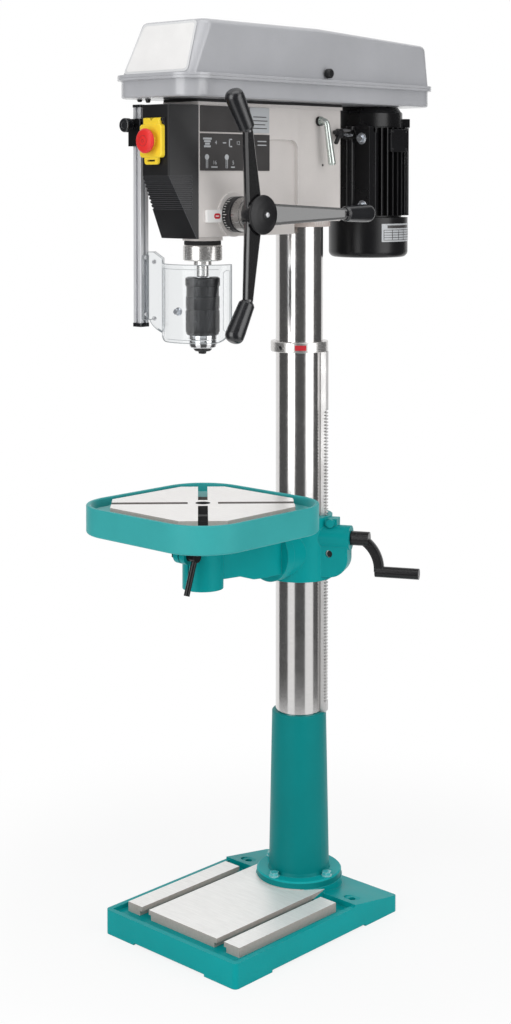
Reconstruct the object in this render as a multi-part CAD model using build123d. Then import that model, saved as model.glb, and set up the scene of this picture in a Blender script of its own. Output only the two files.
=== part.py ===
from build123d import *
import os
from math import acos, atan2, cos, degrees, pi, radians, sin, sqrt, tan

# A floor-standing pillar drill, in millimetres. The column stands on the Z axis, the floor is Z = 0,
# the spindle is in front of the column towards -Y, and the feed handles are on the +X side.

# Fits and gaps
RUN = 0.08
SEAT = 0.05
GAP = 0.3
BACKLASH = 0.4

# Column and overall layout
THROAT = 267.0
COLUMN_R = 46.0
COLUMN_WALL = 5.0
COLUMN_TOP = 1465.0
SPINDLE_Y = -THROAT

# Base casting
BASE_HALF_WIDTH = 170.0
BASE_FRONT = -358.0
BASE_REAR = 97.0
BASE_CORNER_R = 9.0
BASE_WALL = 12.0
BASE_HOLLOW_TOP = 24.0
RIM_TOP = 46.0
RIM_WALL = 10.0
CHANNEL_FLOOR = 38.0
BED_TOP = 56.0
BED_HALF_WIDTH = BASE_HALF_WIDTH - 25.0
BED_FRONT = BASE_FRONT + 36.0
BED_REAR = -58.0
DECK_FRONT = -30.0
DECK_TOP = 50.0
DECK_REAR_TOP = 30.0
BASE_SLOT_X = 98.0
BASE_SLOT_WIDTH = 18.0
BASE_SLOT_HEAD = 30.0
BASE_SLOT_LIP = 9.0
ANCHOR_X = BASE_HALF_WIDTH - 34.0
ANCHOR_R = 7.0
ANCHOR_BOSS_R = 16.0
ANCHOR_FACE = 43.0
PAD_HEIGHT = 4.0
PAD_FRONT_HALF_GAP = BASE_HALF_WIDTH - 78.0
PAD_SIDE_GAP = (BASE_FRONT + 96.0, BASE_REAR - 97.0)

# Column support
SUPPORT_SEAT = BED_TOP + 1.0
FLANGE_R = COLUMN_R + 37.0
FLANGE_THICK = 13.0
SUPPORT_FOOT_R = COLUMN_R + 13.0
SUPPORT_TOP_R = COLUMN_R + 7.0
SUPPORT_TOP = 382.0
SUPPORT_LEDGE = SUPPORT_SEAT + 18.0
SUPPORT_LEDGE_R = COLUMN_R - 8.0
FLANGE_BOLT_CIRCLE_R = COLUMN_R + 26.0
FLANGE_BOLT_R = 5.0
FLANGE_BOLT_HEAD_R = 9.2
FLANGE_BOLT_DEPTH = 30.0
FLANGE_TOP = SUPPORT_SEAT + FLANGE_THICK

# Table heights
TABLE_TOP = 825.0
TABLE_BOTTOM = TABLE_TOP - 52.0
TABLE_PLATE_BOTTOM = TABLE_TOP - 25.0
TABLE_TROUGH = TABLE_TOP - 16.0
TILT_AXIS_Z = TABLE_BOTTOM - 70.0

# Rack, its collar and the table lift
RACK_TURN = 27.0
RACK_MODULE = 2.0
RACK_HALF_WIDTH = 10.0
RACK_PITCH_R = COLUMN_R + 8.5
COLLAR_R = COLUMN_R + 10.0
COLLAR_BOTTOM = COLUMN_TOP - 378.0
COLLAR_HEIGHT = 20.0
RACK_TOOTHED = (SUPPORT_TOP + 16.0, COLLAR_BOTTOM - 112.0)
LIFT_PINION_TEETH = 14
LIFT_AXIS_Z = TILT_AXIS_Z - 3.5
LIFT_SHAFT_R = 7.0
WHEEL_TEETH = 22
WORM_PITCH_R = 8.0
WORM_SIDE = 20.0
WORM_HALF_WIDTH = 4.0
WORM_SHAFT_R = 7.0
WORM_HALF_LENGTH = 16.0
LIFT_PITCH_R = RACK_MODULE * LIFT_PINION_TEETH / 2
LIFT_AXIS_R = RACK_PITCH_R + LIFT_PITCH_R
WHEEL_PITCH_R = RACK_MODULE * WHEEL_TEETH / 2
WORM_Z = LIFT_AXIS_Z + WHEEL_PITCH_R + WORM_PITCH_R
WORM_THREAD = (LIFT_AXIS_R - WORM_HALF_LENGTH, LIFT_AXIS_R + WORM_HALF_LENGTH)

# Table bracket
BRACKET_R = COLUMN_R + 19.0
BRACKET_BOTTOM = TILT_AXIS_Z - 57.0
BRACKET_TOP = TABLE_BOTTOM - 5.0
TILT_FACE_Y = -COLUMN_R - 27.0
TILT_FLANGE_R = 54.0
TILT_FLANGE_THICK = 19.0
TILT_BOLT_R = 10.0
HOUSING_END = LIFT_AXIS_R + WHEEL_PITCH_R + 15.0
HOUSING_BOTTOM = LIFT_AXIS_Z - WHEEL_PITCH_R - 23.0
HOUSING_CORNER_R = 36.0
BARREL_R = 24.0
BARREL_END = HOUSING_END + 3.0
BRACKET_LOCK_X = -COLUMN_R - 31.0
BRACKET_LOCK_Z = TILT_AXIS_Z + 6.0

# Crank
CRANK_HUB_R = 13.7
CRANK_HUB_END = BARREL_END + 36.0
CRANK_THROW = 62.0
CRANK_GRIP_R = 10.5
CRANK_GRIP = (CRANK_HUB_END + 11.0, CRANK_HUB_END + 97.0)

# Table and its arm
TABLE_HALF = THROAT - COLUMN_R - 43.0
TABLE_CORNER_R = 90.0
TABLE_RIM_WALL = 8.0
TABLE_BED_HALF = TABLE_HALF - 29.0
TABLE_BED_CUT = 60.0
TABLE_SLOT_WIDTH = 18.0
TABLE_SLOT_START = 28.0
TABLE_HOLE_R = 14.0
STEM_R = 24.0
STEM_BOTTOM = TABLE_BOTTOM - 83.0
ARM_BOSS_R = STEM_R + 14.0
ARM_BOSS_BOTTOM = TABLE_BOTTOM - 105.0
ARM_ROOT_HALF = 37.0
ARM_END_HALF = 28.0
ARM_WALL = 9.0
CLAMP_REACH = ARM_BOSS_R + 10.0
CLAMP_Z = TABLE_BOTTOM - 37.0
CLAMP_HALF = 14.0
LEVER_BOLT_R = 6.0

# Head casting
HEAD_HALF_FRONT = 46.0
HEAD_HALF_REAR = COLUMN_R + 9.0
HEAD_FRONT = SPINDLE_Y - 56.0
HEAD_REAR = COLUMN_R + 18.0
HEAD_BOTTOM = COLUMN_TOP - 148.0
HEAD_REAR_BOTTOM = COLUMN_TOP - 125.0
HEAD_TOP = COLUMN_TOP + 90.0
HEAD_STEP_Y = -COLUMN_R - 20.0
HEAD_STEP_Z = COLUMN_TOP + 30.0
HEAD_RAMP_Y = HEAD_STEP_Y - 84.0
HEAD_CLAMP_R = COLUMN_R + 14.0
HEAD_CLAMP_BOTTOM = HEAD_REAR_BOTTOM - 10.5
HEAD_CAVITY_WALL = 8.0
HEAD_CAVITY_Y = (SPINDLE_Y + 59.0, -COLUMN_R - 58.0)
QUILL_BOSS_R = 37.0
QUILL_BOSS_BOTTOM = HEAD_BOTTOM - 8.0

# Quill, spindle and feed
QUILL_R = 25.0
QUILL_TOP = COLUMN_TOP + 20.0
QUILL_STROKE = 80.0
QUILL_BORE_R = 14.5
QUILL_COLLAR_R = QUILL_R + 11.0
QUILL_COLLAR = (QUILL_BOSS_BOTTOM - 37.0, QUILL_BOSS_BOTTOM - 8.0)
BEARING_R = QUILL_R - 5.0
BEARING_HEIGHT = 18.0
SPINDLE_R = 10.0
SPINDLE_NOSE_R = 16.5
SPLINE_R = 9.0
SPLINE_FLAT = 7.0
FEED_MODULE = 1.5
FEED_TEETH = 14
FEED_RACK_PITCH = QUILL_R - 3.0
FEED_HALF_WIDTH = 9.0
FEED_Z = HEAD_BOTTOM + 40.0
FEED_SHAFT_R = 8.0
FEED_JOURNAL_R = 12.4
FEED_BOSS_R = 41.0
FEED_BOSS_X = HEAD_HALF_FRONT + 4.0
FEED_BUSH_X = FEED_BOSS_X + 20.0
DEPTH_RING_X = FEED_BUSH_X + 26.0
HUB_X = DEPTH_RING_X + 24.0
HUB_R = 33.0
HUB_CAP_X = HUB_X + 11.0
HUB_CAP_R = 36.0
ARM_BEND_REACH = 174.0
GRIP_REACH = 252.0
GRIP_X = HUB_X + 45.0
GRIP_R = 17.0
GRIP_STUD_R = 8.0
GRIP_STUD_LENGTH = 30.0
FEED_PITCH_R = FEED_MODULE * FEED_TEETH / 2
FEED_Y = SPINDLE_Y + FEED_RACK_PITCH + FEED_PITCH_R

# Chuck
CHUCK_TOP = QUILL_COLLAR[0] - 29.0
CHUCK_R = 30.0
CHUCK_CORE_R = 20.0
CHUCK_SLEEVE_BOTTOM = CHUCK_TOP - 107.0
CHUCK_NOSE_BOTTOM = CHUCK_SLEEVE_BOTTOM - 30.0
CHUCK_NOSE_R = 14.0
ARBOR_R = 9.5
ARBOR_BOTTOM = CHUCK_TOP - 43.0
JAW_TIP = CHUCK_NOSE_BOTTOM - 5.0
JAW_TOP = JAW_TIP + 49.0
JAW_R = 4.0
JAW_SLANT = 15.0
JAW_TIP_REACH = 3.2
JAW_TURNS = (90.0, 210.0, 330.0)

# Front cover and switch
COVER_FRONT = HEAD_FRONT - 63.0
COVER_CHIN_Y = HEAD_FRONT - 4.0
COVER_BREAK_Z = HEAD_BOTTOM + 110.0
COVER_BOTTOM = HEAD_BOTTOM - 3.0
COVER_TOP = HEAD_TOP - 1.0
COVER_HALF_FRONT = 34.0
COVER_WALL = 3.0
RIB_COUNT = 9
RIB_PITCH = 7.0
RIB_WIDTH = 3.2
RIB_DEPTH = 1.2
SWITCH_Z = HEAD_TOP - 66.0
SWITCH_HALF_WIDTH = 27.0
SWITCH_HALF_HEIGHT = 29.5
SWITCH_BODY_HALF = 22.0
SWITCH_PLATE = 3.0
FLAP_BACK = COVER_FRONT - SWITCH_PLATE - GAP
FLAP_DEPTH = 9.0
FLAP_WALL = 2.5
FLAP_BOSS_R = 13.0
FLAP_BOSS_DEPTH = 5.0
FLAP_PIN_R = 1.6
FLAP_KNUCKLE_R = 3.5
FLAP_FRONT = FLAP_BACK - FLAP_DEPTH
FLAP_HINGE_Y = FLAP_BACK - 1.0
FLAP_HINGE_Z = SWITCH_Z + SWITCH_HALF_HEIGHT + 8.5
FLAP_TAB_HALF = 21.5
FLAP_EAR_X = SWITCH_HALF_WIDTH - 2.5
MUSHROOM_R = 22.0
MUSHROOM_STEM_R = 6.0
MUSHROOM_TRAVEL = 3.0
MUSHROOM_BACK = FLAP_FRONT - FLAP_BOSS_DEPTH - MUSHROOM_TRAVEL - 1.0
MUSHROOM_FACE = MUSHROOM_BACK - 10.0
BUTTON_R = 7.5
BUTTON_X = 12.0
BUTTON_TRAVEL = 1.5
BUTTON_DEPTH = 14.0
BUTTON_FACE = COVER_FRONT - SWITCH_PLATE - 2.0
MUSHROOM_STEM_END = BUTTON_FACE - MUSHROOM_TRAVEL - GAP

# Chuck guard
POST_X = -HEAD_HALF_FRONT - 35.6
POST_Y = HEAD_FRONT - 22.0
POST_SIDE = 20.0
POST_BOTTOM = HEAD_BOTTOM - 159.0
POST_TOP = HEAD_TOP - 3.0
HOLDER_Z = (HEAD_TOP - 74.0, HEAD_TOP - 24.0)
HOLDER_HALF = POST_SIDE / 2 + 7.0
GUARD_PIVOT = (-HEAD_HALF_FRONT - 17.0, HEAD_FRONT + 7.0)
GUARD_PIN_R = 4.0
GUARD_KNUCKLE_R = 8.0
GUARD_KNUCKLE = 12.0
GUARD_KNOB_Z = HOLDER_Z[1] - 12.0
GUARD_R = 74.0
GUARD_WALL = 3.0
GUARD_Z = (HEAD_BOTTOM - 191.0, HEAD_BOTTOM - 50.0)
GUARD_TAB_TOP = GUARD_Z[1] + 21.0
GUARD_CORNER_R = 38.0
GUARD_ARC = (222.0, 360.0)

# Belt cover
PAN_HALF = 101.0
PAN_FRONT = HEAD_FRONT - 77.0
PAN_CORNER_R = 45.0
PAN_BOTTOM = HEAD_TOP + 11.0
PAN_LIP_Z = PAN_BOTTOM + 32.0
LIP_THICK = 4.5
LIP_REACH = 7.0
COVER_SHEET = 2.5
LID_BOTTOM = PAN_LIP_Z + LIP_THICK + GAP
LID_FLANGE = 5.0
LID_TOP = PAN_LIP_Z + 107.5
LID_REAR_TOP = LID_TOP - 15.5
LID_CREST_Y = -35.0
LID_FOOT_HALF = PAN_HALF - 10.0
LID_FOOT_FRONT = PAN_FRONT + 10.0
LID_FOOT_R = 14.0
LID_TOP_HALF = LID_FOOT_HALF - 6.0
LID_TOP_FRONT = LID_FOOT_FRONT + 43.0
LID_TOP_R = 23.0
LID_EDGE_R = 12.0
LID_HINGE_X = -PAN_HALF - LIP_REACH - 8.0
LID_HINGE_R = 6.0
LID_HINGE_PIN_R = 3.0
LID_HINGE_Z = PAN_LIP_Z + LIP_THICK / 2
LID_HINGES = (PAN_FRONT + 170.0, 170.0)
LID_KNOB_Y = -26.0
LID_KNOB_Z = LID_BOTTOM + 18.0
LID_KNOB_R = 9.0
LID_KNOB_STEM_R = 3.0

# Pulleys and belts
PULLEY_BOTTOM = PAN_BOTTOM + 20.0
PULLEY_STEP = 17.0
GROOVE_DEPTH = 9.0
GROOVE_TOP = 11.0
GROOVE_FLOOR = 6.0
SPINDLE_STEPS = (66.0, 82.0, 98.0, 114.0)
IDLER_STEPS = (114.0, 98.0, 82.0, 66.0)
MOTOR_STEPS = (46.0, 62.0, 78.0, 94.0)
REAR_BELT_STEP = 1
FRONT_BELT_STEP = 2
IDLER_AXIS = (0.0, -36.0)
IDLER_PIVOT = (-30.0, -80.0)
IDLER_PIN_R = 8.0
IDLER_PIVOT_R = 10.0
IDLER_PIVOT_DEPTH = 53.0
IDLER_ARM_LOW = PAN_BOTTOM + 6.0
IDLER_ARM_HIGH = PAN_BOTTOM + 16.0
PULLEY_SLEEVE_R = 15.0
PULLEY_BEARING_R = 26.0
PULLEY_BEARING_HEIGHT = 14.0
PULLEY_SEAT = PAN_BOTTOM - 32.0
PULLEY_TOP = PULLEY_BOTTOM + PULLEY_STEP * len(SPINDLE_STEPS)

# Motor and its slide
MOTOR_Y = 210.0
PAN_REAR = MOTOR_Y + 95.0
LID_FOOT_REAR = PAN_REAR - 7.0
LID_TOP_REAR = LID_FOOT_REAR - 1.0
MOTOR_TOP = PAN_BOTTOM - 9.0
MOTOR_SHIELD_BOTTOM = MOTOR_TOP - 30.0
MOTOR_SHIELD_R = 69.0
MOTOR_CORE_R = 67.0
MOTOR_FIN_R = 82.0
MOTOR_FIN_COUNT = 40
MOTOR_FIN_THICK = 2.4
FAN_COVER_TOP = MOTOR_TOP - 213.0
FAN_COVER_BOTTOM = FAN_COVER_TOP - 80.0
FAN_COVER_R = 80.0
FAN_COVER_WALL = 2.0
ROTOR_R = 48.0
MOTOR_SHAFT_R = 9.0
PLATE_THICK = 12.0
PLATE_FRONT = MOTOR_Y - 96.0
PLATE_HALF_WIDTH = 82.0
PLATE_Z = (FAN_COVER_TOP + 6.0, MOTOR_SHIELD_BOTTOM - 1.0)
BAR_X = 34.0
BAR_Z = HEAD_TOP - 45.0
BAR_R = 12.0
BAR_FRONT = -40.0
MOTOR_SLIDE = 20.0
LEVER_MODULE = 2.0
LEVER_TEETH = 12
LEVER_Y = -7.0
LEVER_SHAFT_R = 6.0
LEVER_ROD_R = 5.8
SLIDE_LOCK_Y = HEAD_REAR - 17.0
SLIDE_LOCK_R = 5.0
LEVER_PITCH_R = LEVER_MODULE * LEVER_TEETH / 2
BAR_RACK_PITCH = BAR_R - LEVER_MODULE
LEVER_Z = BAR_Z + BAR_RACK_PITCH + LEVER_PITCH_R

# Gear teeth
PRESSURE = radians(20.0)
SHORT_ADDENDUM = 0.7
DEDENDUM = 1.25

nodes = {}


# Basic shapes

def disc(radius, low, high, x=0.0, y=0.0):
    """Upright cylinder between two heights."""
    return Pos(x, y, (low + high) / 2) * Cylinder(radius, high - low)


def ring(outer, inner, low, high, x=0.0, y=0.0):
    """Upright tube between two heights."""
    return disc(outer, low, high, x, y) - disc(inner, low - 1, high + 1, x, y)


def block(x0, x1, y0, y1, z0, z1):
    """Box between two corners."""
    return Pos((x0 + x1) / 2, (y0 + y1) / 2, (z0 + z1) / 2) * Box(x1 - x0, y1 - y0, z1 - z0)


def rod_x(radius, x0, x1, y, z):
    """Cylinder along X."""
    return Pos((x0 + x1) / 2, y, z) * Rot(0, 90, 0) * Cylinder(radius, x1 - x0)


def rod_y(radius, y0, y1, x, z):
    """Cylinder along Y."""
    return Pos(x, (y0 + y1) / 2, z) * Rot(90, 0, 0) * Cylinder(radius, y1 - y0)


def rod(start, end, radius):
    """Cylinder from one point to another."""
    reach = Vector(*end) - Vector(*start)
    on_floor = (Align.CENTER, Align.CENTER, Align.MIN)
    return Plane(origin=start, z_dir=reach) * Cylinder(radius, reach.length, align=on_floor)


def turned(points, x=0.0, y=0.0):
    """Solid turned about an upright axis, from points of radius and height."""
    profile = make_face(Polyline(*points, close=True))
    return Pos(x, y, 0) * revolve(Plane.XZ * profile, Axis.Z)


def turned_x(points, y, z):
    """Solid turned about an axis along X, from points of place along X and radius."""
    profile = make_face(Polyline(*points, close=True))
    return Pos(0, y, z) * revolve(profile, Axis.X)


def plan(points, low, high):
    """Outline in X and Y, raised between two heights."""
    return extrude(Plane.XY.offset(low) * make_face(Polyline(*points, close=True)), high - low)


def side_plate(points, half_width):
    """Outline in Y and Z, as thick as twice the half width about the middle plane."""
    return extrude(Plane.YZ * make_face(Polyline(*points, close=True)), half_width, both=True)


def rounded_plan(half_width, front, rear, corner, height):
    """Rounded rectangle about the middle plane at a height."""
    outline = RectangleRounded(2 * half_width, rear - front, corner)
    return Plane.XY.offset(height) * Pos(0, (front + rear) / 2) * outline


def hexagon(radius, low, high, x=0.0, y=0.0):
    """Upright hexagonal bar."""
    return Pos(x, y, low) * extrude(RegularPolygon(radius, 6), high - low)


def mirrored(solid):
    """A solid and its copy on the other side of the middle plane."""
    return solid + mirror(solid, Plane.YZ)


# Gear teeth

def involute(angle):
    return tan(angle) - angle


def gear_outline(module, teeth):
    """Involute gear with one tooth on the local X axis."""
    pitch_r = module * teeth / 2
    base_r = pitch_r * cos(PRESSURE)
    root_r = pitch_r - DEDENDUM * module
    tip_r = pitch_r + module
    half_pitch = pi / (2 * teeth) - BACKLASH / (4 * pitch_r)
    start_r = max(base_r, root_r)
    flank = []
    for step in range(5):
        radius = start_r + (tip_r - start_r) * step / 4
        half = half_pitch + involute(PRESSURE) - involute(acos(min(1.0, base_r / radius)))
        flank.append((radius, half))
    flank.insert(0, (root_r - 0.01, flank[0][1]))
    points = []
    for tooth in range(teeth):
        middle = 2 * pi * tooth / teeth
        rising = [(radius, middle - half) for radius, half in flank]
        falling = [(radius, middle + half) for radius, half in reversed(flank)]
        points += [(radius * cos(angle), radius * sin(angle)) for radius, angle in rising + falling]
    return make_face(Polyline(*points, close=True))


def rack_gap(module, middle, pitch_line):
    """Corners of one gap between rack teeth, as distance from the pitch line and place along the rack."""
    quarter = pi * module / 4 + BACKLASH / 4
    tip = SHORT_ADDENDUM * module
    root = DEDENDUM * module
    wide = quarter + tip * tan(PRESSURE)
    narrow = quarter - root * tan(PRESSURE)
    return [
        (pitch_line + tip, middle - wide),
        (pitch_line - root, middle - narrow),
        (pitch_line - root, middle + narrow),
        (pitch_line + tip, middle + wide),
    ]


def gap_middles(module, through, low, high):
    """Places of the gaps of a rack that has one gap at a given place."""
    pitch = pi * module
    first = through - pitch * int((through - low) / pitch)
    count = int((high - first) / pitch) + 1
    return [first + pitch * index for index in range(count)]


# Base and column

def make_base():
    side = [
        (BASE_FRONT, 0),
        (BASE_REAR, 0),
        (BASE_REAR, DECK_REAR_TOP),
        (DECK_FRONT, DECK_TOP),
        (DECK_FRONT, RIM_TOP),
        (BASE_FRONT, RIM_TOP),
    ]
    outline = rounded_plan(BASE_HALF_WIDTH, BASE_FRONT, BASE_REAR, BASE_CORNER_R, 0)
    body = side_plate(side, BASE_HALF_WIDTH) & extrude(outline, DECK_TOP)
    inner = BASE_HALF_WIDTH - RIM_WALL
    body -= block(-inner, inner, BASE_FRONT + RIM_WALL, DECK_FRONT, CHANNEL_FLOOR, DECK_TOP)
    body += block(-BED_HALF_WIDTH, BED_HALF_WIDTH, BED_FRONT, BED_REAR, CHANNEL_FLOOR - 1, BED_TOP)
    middle_half = BASE_SLOT_X - BASE_SLOT_WIDTH / 2
    body += block(-middle_half, middle_half, BED_REAR - 1, DECK_FRONT + 5, CHANNEL_FLOOR - 1, BED_TOP)
    body += disc(FLANGE_R + 1.5, CHANNEL_FLOOR - 1, SUPPORT_SEAT)
    for x in (-BASE_SLOT_X, BASE_SLOT_X):
        half = BASE_SLOT_WIDTH / 2
        head = BASE_SLOT_HEAD / 2
        body -= block(x - half, x + half, BED_FRONT - 1, BED_REAR + 1, CHANNEL_FLOOR, BED_TOP + 1)
        body -= block(x - head, x + head, BED_FRONT - 1, BED_REAR + 1, CHANNEL_FLOOR, BED_TOP - BASE_SLOT_LIP)
    wall = BASE_HALF_WIDTH - BASE_WALL
    hollow = block(-wall, wall, BASE_FRONT + BASE_WALL, BASE_REAR - BASE_WALL, -1, BASE_HOLLOW_TOP)
    hollow -= disc(FLANGE_R, PAD_HEIGHT, BASE_HOLLOW_TOP + 1)
    hollow -= block(-BASE_WALL / 2, BASE_WALL / 2, BASE_FRONT, BASE_REAR, PAD_HEIGHT, BASE_HOLLOW_TOP + 1)
    for x in (-ANCHOR_X, ANCHOR_X):
        hollow -= disc(ANCHOR_BOSS_R, -2, BASE_HOLLOW_TOP + 1, x)
    body -= hollow
    gap = PAD_FRONT_HALF_GAP
    body -= block(-gap, gap, BASE_FRONT - 1, BASE_FRONT + BASE_WALL + 1, -1, PAD_HEIGHT)
    body -= block(-gap, gap, BASE_REAR - BASE_WALL - 1, BASE_REAR + 1, -1, PAD_HEIGHT)
    for side_x in (-1, 1):
        edge = sorted((side_x * (wall - 0.5), side_x * (BASE_HALF_WIDTH + 1)))
        body -= block(edge[0], edge[1], PAD_SIDE_GAP[0], PAD_SIDE_GAP[1], -1, PAD_HEIGHT)
    for x in (-ANCHOR_X, ANCHOR_X):
        body -= disc(ANCHOR_R, -1, DECK_TOP + 5, x)
        body -= disc(ANCHOR_BOSS_R, ANCHOR_FACE, DECK_TOP + 5, x)
    for x, y in bolt_places():
        body -= disc(FLANGE_BOLT_R + SEAT, SUPPORT_SEAT - FLANGE_BOLT_DEPTH, SUPPORT_SEAT + 1, x, y)
    return body


def bolt_places():
    angles = [radians(90 * index) for index in range(4)]
    return [(FLANGE_BOLT_CIRCLE_R * cos(a), FLANGE_BOLT_CIRCLE_R * sin(a)) for a in angles]


def make_support():
    bore = COLUMN_R + SEAT
    body = turned([
        (SUPPORT_LEDGE_R, SUPPORT_SEAT),
        (FLANGE_R, SUPPORT_SEAT),
        (FLANGE_R, FLANGE_TOP - 2.5),
        (FLANGE_R - 2.5, FLANGE_TOP),
        (SUPPORT_FOOT_R + 2, FLANGE_TOP),
        (SUPPORT_FOOT_R, FLANGE_TOP + 6),
        (SUPPORT_TOP_R, SUPPORT_TOP - 2),
        (SUPPORT_TOP_R - 2, SUPPORT_TOP),
        (bore, SUPPORT_TOP),
        (bore, SUPPORT_LEDGE),
        (SUPPORT_LEDGE_R, SUPPORT_LEDGE),
    ])
    for x, y in bolt_places():
        body -= disc(FLANGE_BOLT_R + 0.5, SUPPORT_SEAT - 1, FLANGE_TOP + 1, x, y)
    return body


def make_frame_bolts():
    bolts = []
    for x, y in bolt_places():
        bolt = disc(FLANGE_BOLT_R, SUPPORT_SEAT - FLANGE_BOLT_DEPTH + 1, FLANGE_TOP + 3, x, y)
        bolt += disc(FLANGE_BOLT_HEAD_R + 1, FLANGE_TOP, FLANGE_TOP + 2, x, y)
        bolt += hexagon(FLANGE_BOLT_HEAD_R, FLANGE_TOP + 2, FLANGE_TOP + 8.5, x, y)
        bolts.append(bolt)
    return bolts


def make_collar():
    inner = COLUMN_R + SEAT
    top = COLLAR_BOTTOM + COLLAR_HEIGHT
    body = turned([
        (inner, COLLAR_BOTTOM),
        (COLLAR_R - 1, COLLAR_BOTTOM),
        (COLLAR_R, COLLAR_BOTTOM + 1),
        (COLLAR_R, top - 1),
        (COLLAR_R - 1, top),
        (inner, top),
    ])
    return body - rod_y(3, -COLLAR_R - 1, -COLUMN_R + 1, 0, (COLLAR_BOTTOM + top) / 2)


def make_rack():
    bottom = SUPPORT_TOP + GAP
    top = COLLAR_BOTTOM - GAP
    tip = RACK_PITCH_R + SHORT_ADDENDUM * RACK_MODULE
    points = [(COLUMN_R - 4, bottom), (tip, bottom)]
    for middle in gap_middles(RACK_MODULE, LIFT_AXIS_Z, *RACK_TOOTHED):
        points += rack_gap(RACK_MODULE, middle, RACK_PITCH_R)
    points += [(tip, top), (COLUMN_R - 4, top)]
    bar = extrude(Plane.XZ * make_face(Polyline(*points, close=True)), RACK_HALF_WIDTH, both=True)
    return Rot(0, 0, RACK_TURN) * (bar - disc(COLUMN_R + GAP, bottom - 1, top + 1))


# Table lift: built with the rack towards +X, then turned to its place round the column

def lift_gear(module, teeth, y0, y1, facing):
    """Gear on the lift shaft, with a tooth pointing along the given direction."""
    plane = Plane(origin=(LIFT_AXIS_R, y1, LIFT_AXIS_Z), x_dir=facing, z_dir=(0, -1, 0))
    return extrude(plane * gear_outline(module, teeth), y1 - y0)


def make_lift_pinion():
    half = RACK_HALF_WIDTH - 1
    body = lift_gear(RACK_MODULE, LIFT_PINION_TEETH, -half, half, (-1, 0, 0))
    wheel = (-WORM_SIDE - WORM_HALF_WIDTH, -WORM_SIDE + WORM_HALF_WIDTH)
    body += lift_gear(RACK_MODULE, WHEEL_TEETH, wheel[0], wheel[1], (0, 0, 1))
    body += rod_y(LIFT_SHAFT_R, -WORM_SIDE - 13, half + 6, LIFT_AXIS_R, LIFT_AXIS_Z)
    return Rot(0, 0, RACK_TURN) * body


def make_worm_shaft():
    pitch = pi * RACK_MODULE
    root_r = WORM_PITCH_R - DEDENDUM * RACK_MODULE
    tip_r = WORM_PITCH_R + RACK_MODULE * 0.9
    root_half = pitch / 4 + DEDENDUM * RACK_MODULE * tan(PRESSURE) - BACKLASH
    tip_half = pitch / 4 - RACK_MODULE * 0.9 * tan(PRESSURE) - BACKLASH
    turns = int((WORM_THREAD[1] - WORM_THREAD[0]) / pitch)
    half_turns = turns // 2 + 0.5
    start = LIFT_AXIS_R - half_turns * pitch
    helix = Helix(pitch, 2 * half_turns * pitch, root_r)
    tooth = make_face(Polyline(
        (root_r - 0.4, -root_half - 0.1),
        (tip_r, -tip_half),
        (tip_r, tip_half),
        (root_r - 0.4, root_half + 0.1),
        close=True,
    ))
    thread = sweep(Plane.XZ * tooth, path=helix, is_frenet=True)
    lay_down = Pos(start, -WORM_SIDE, WORM_Z) * Rot(0, 90, 0)
    body = lay_down * thread
    body += rod_x(root_r, WORM_THREAD[0] - 5, BARREL_END, -WORM_SIDE, WORM_Z)
    body += rod_x(WORM_SHAFT_R, WORM_THREAD[1] + 8, CRANK_HUB_END - 3, -WORM_SIDE, WORM_Z)
    return Rot(0, 0, RACK_TURN) * body


def make_crank():
    throw_z = WORM_Z - CRANK_THROW
    body = rod_x(CRANK_HUB_R, BARREL_END + GAP, CRANK_HUB_END, -WORM_SIDE, WORM_Z)
    path = ThreePointArc(
        (CRANK_HUB_END - 9, -WORM_SIDE, WORM_Z - 4),
        (CRANK_GRIP[0], -WORM_SIDE, WORM_Z - CRANK_THROW * 0.42),
        (CRANK_GRIP[0] + 8, -WORM_SIDE, throw_z),
    )
    body += sweep(Plane(origin=path @ 0, z_dir=path % 0) * RectangleRounded(19, 15, 4), path=path)
    body += rod_x(CRANK_GRIP_R, CRANK_GRIP[0] + 1, CRANK_GRIP[1], -WORM_SIDE, throw_z)
    body -= rod_x(WORM_SHAFT_R + SEAT, BARREL_END, CRANK_HUB_END - 3 + SEAT, -WORM_SIDE, WORM_Z)
    return Rot(0, 0, RACK_TURN) * body


def lift_housing():
    """Gear box and worm barrel beside the column, with the rack towards +X."""
    rear = RACK_HALF_WIDTH + 8
    box = block(COLUMN_R - 10, HOUSING_END, -WORM_SIDE - 18, -2, HOUSING_BOTTOM, WORM_Z)
    low_edge = box.edges().filter_by(Axis.Y).group_by(Axis.X)[-1].sort_by(Axis.Z)[0]
    body = fillet(low_edge, HOUSING_CORNER_R)
    body += rod_y(LIFT_PITCH_R + 12, -3, rear, LIFT_AXIS_R, LIFT_AXIS_Z)
    body += rod_x(BARREL_R, COLUMN_R, BARREL_END, -WORM_SIDE, WORM_Z)
    body += block(COLUMN_R, LIFT_AXIS_R, -WORM_SIDE - 14, rear, LIFT_AXIS_Z, WORM_Z + 12)
    body += block(COLUMN_R, LIFT_AXIS_R + 14, -WORM_SIDE - 8, -2, WORM_Z, BRACKET_TOP - 2)
    body += rod_y(8, -WORM_SIDE - 17, -WORM_SIDE, LIFT_AXIS_R + 2, BRACKET_TOP - 10)
    return body


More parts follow.
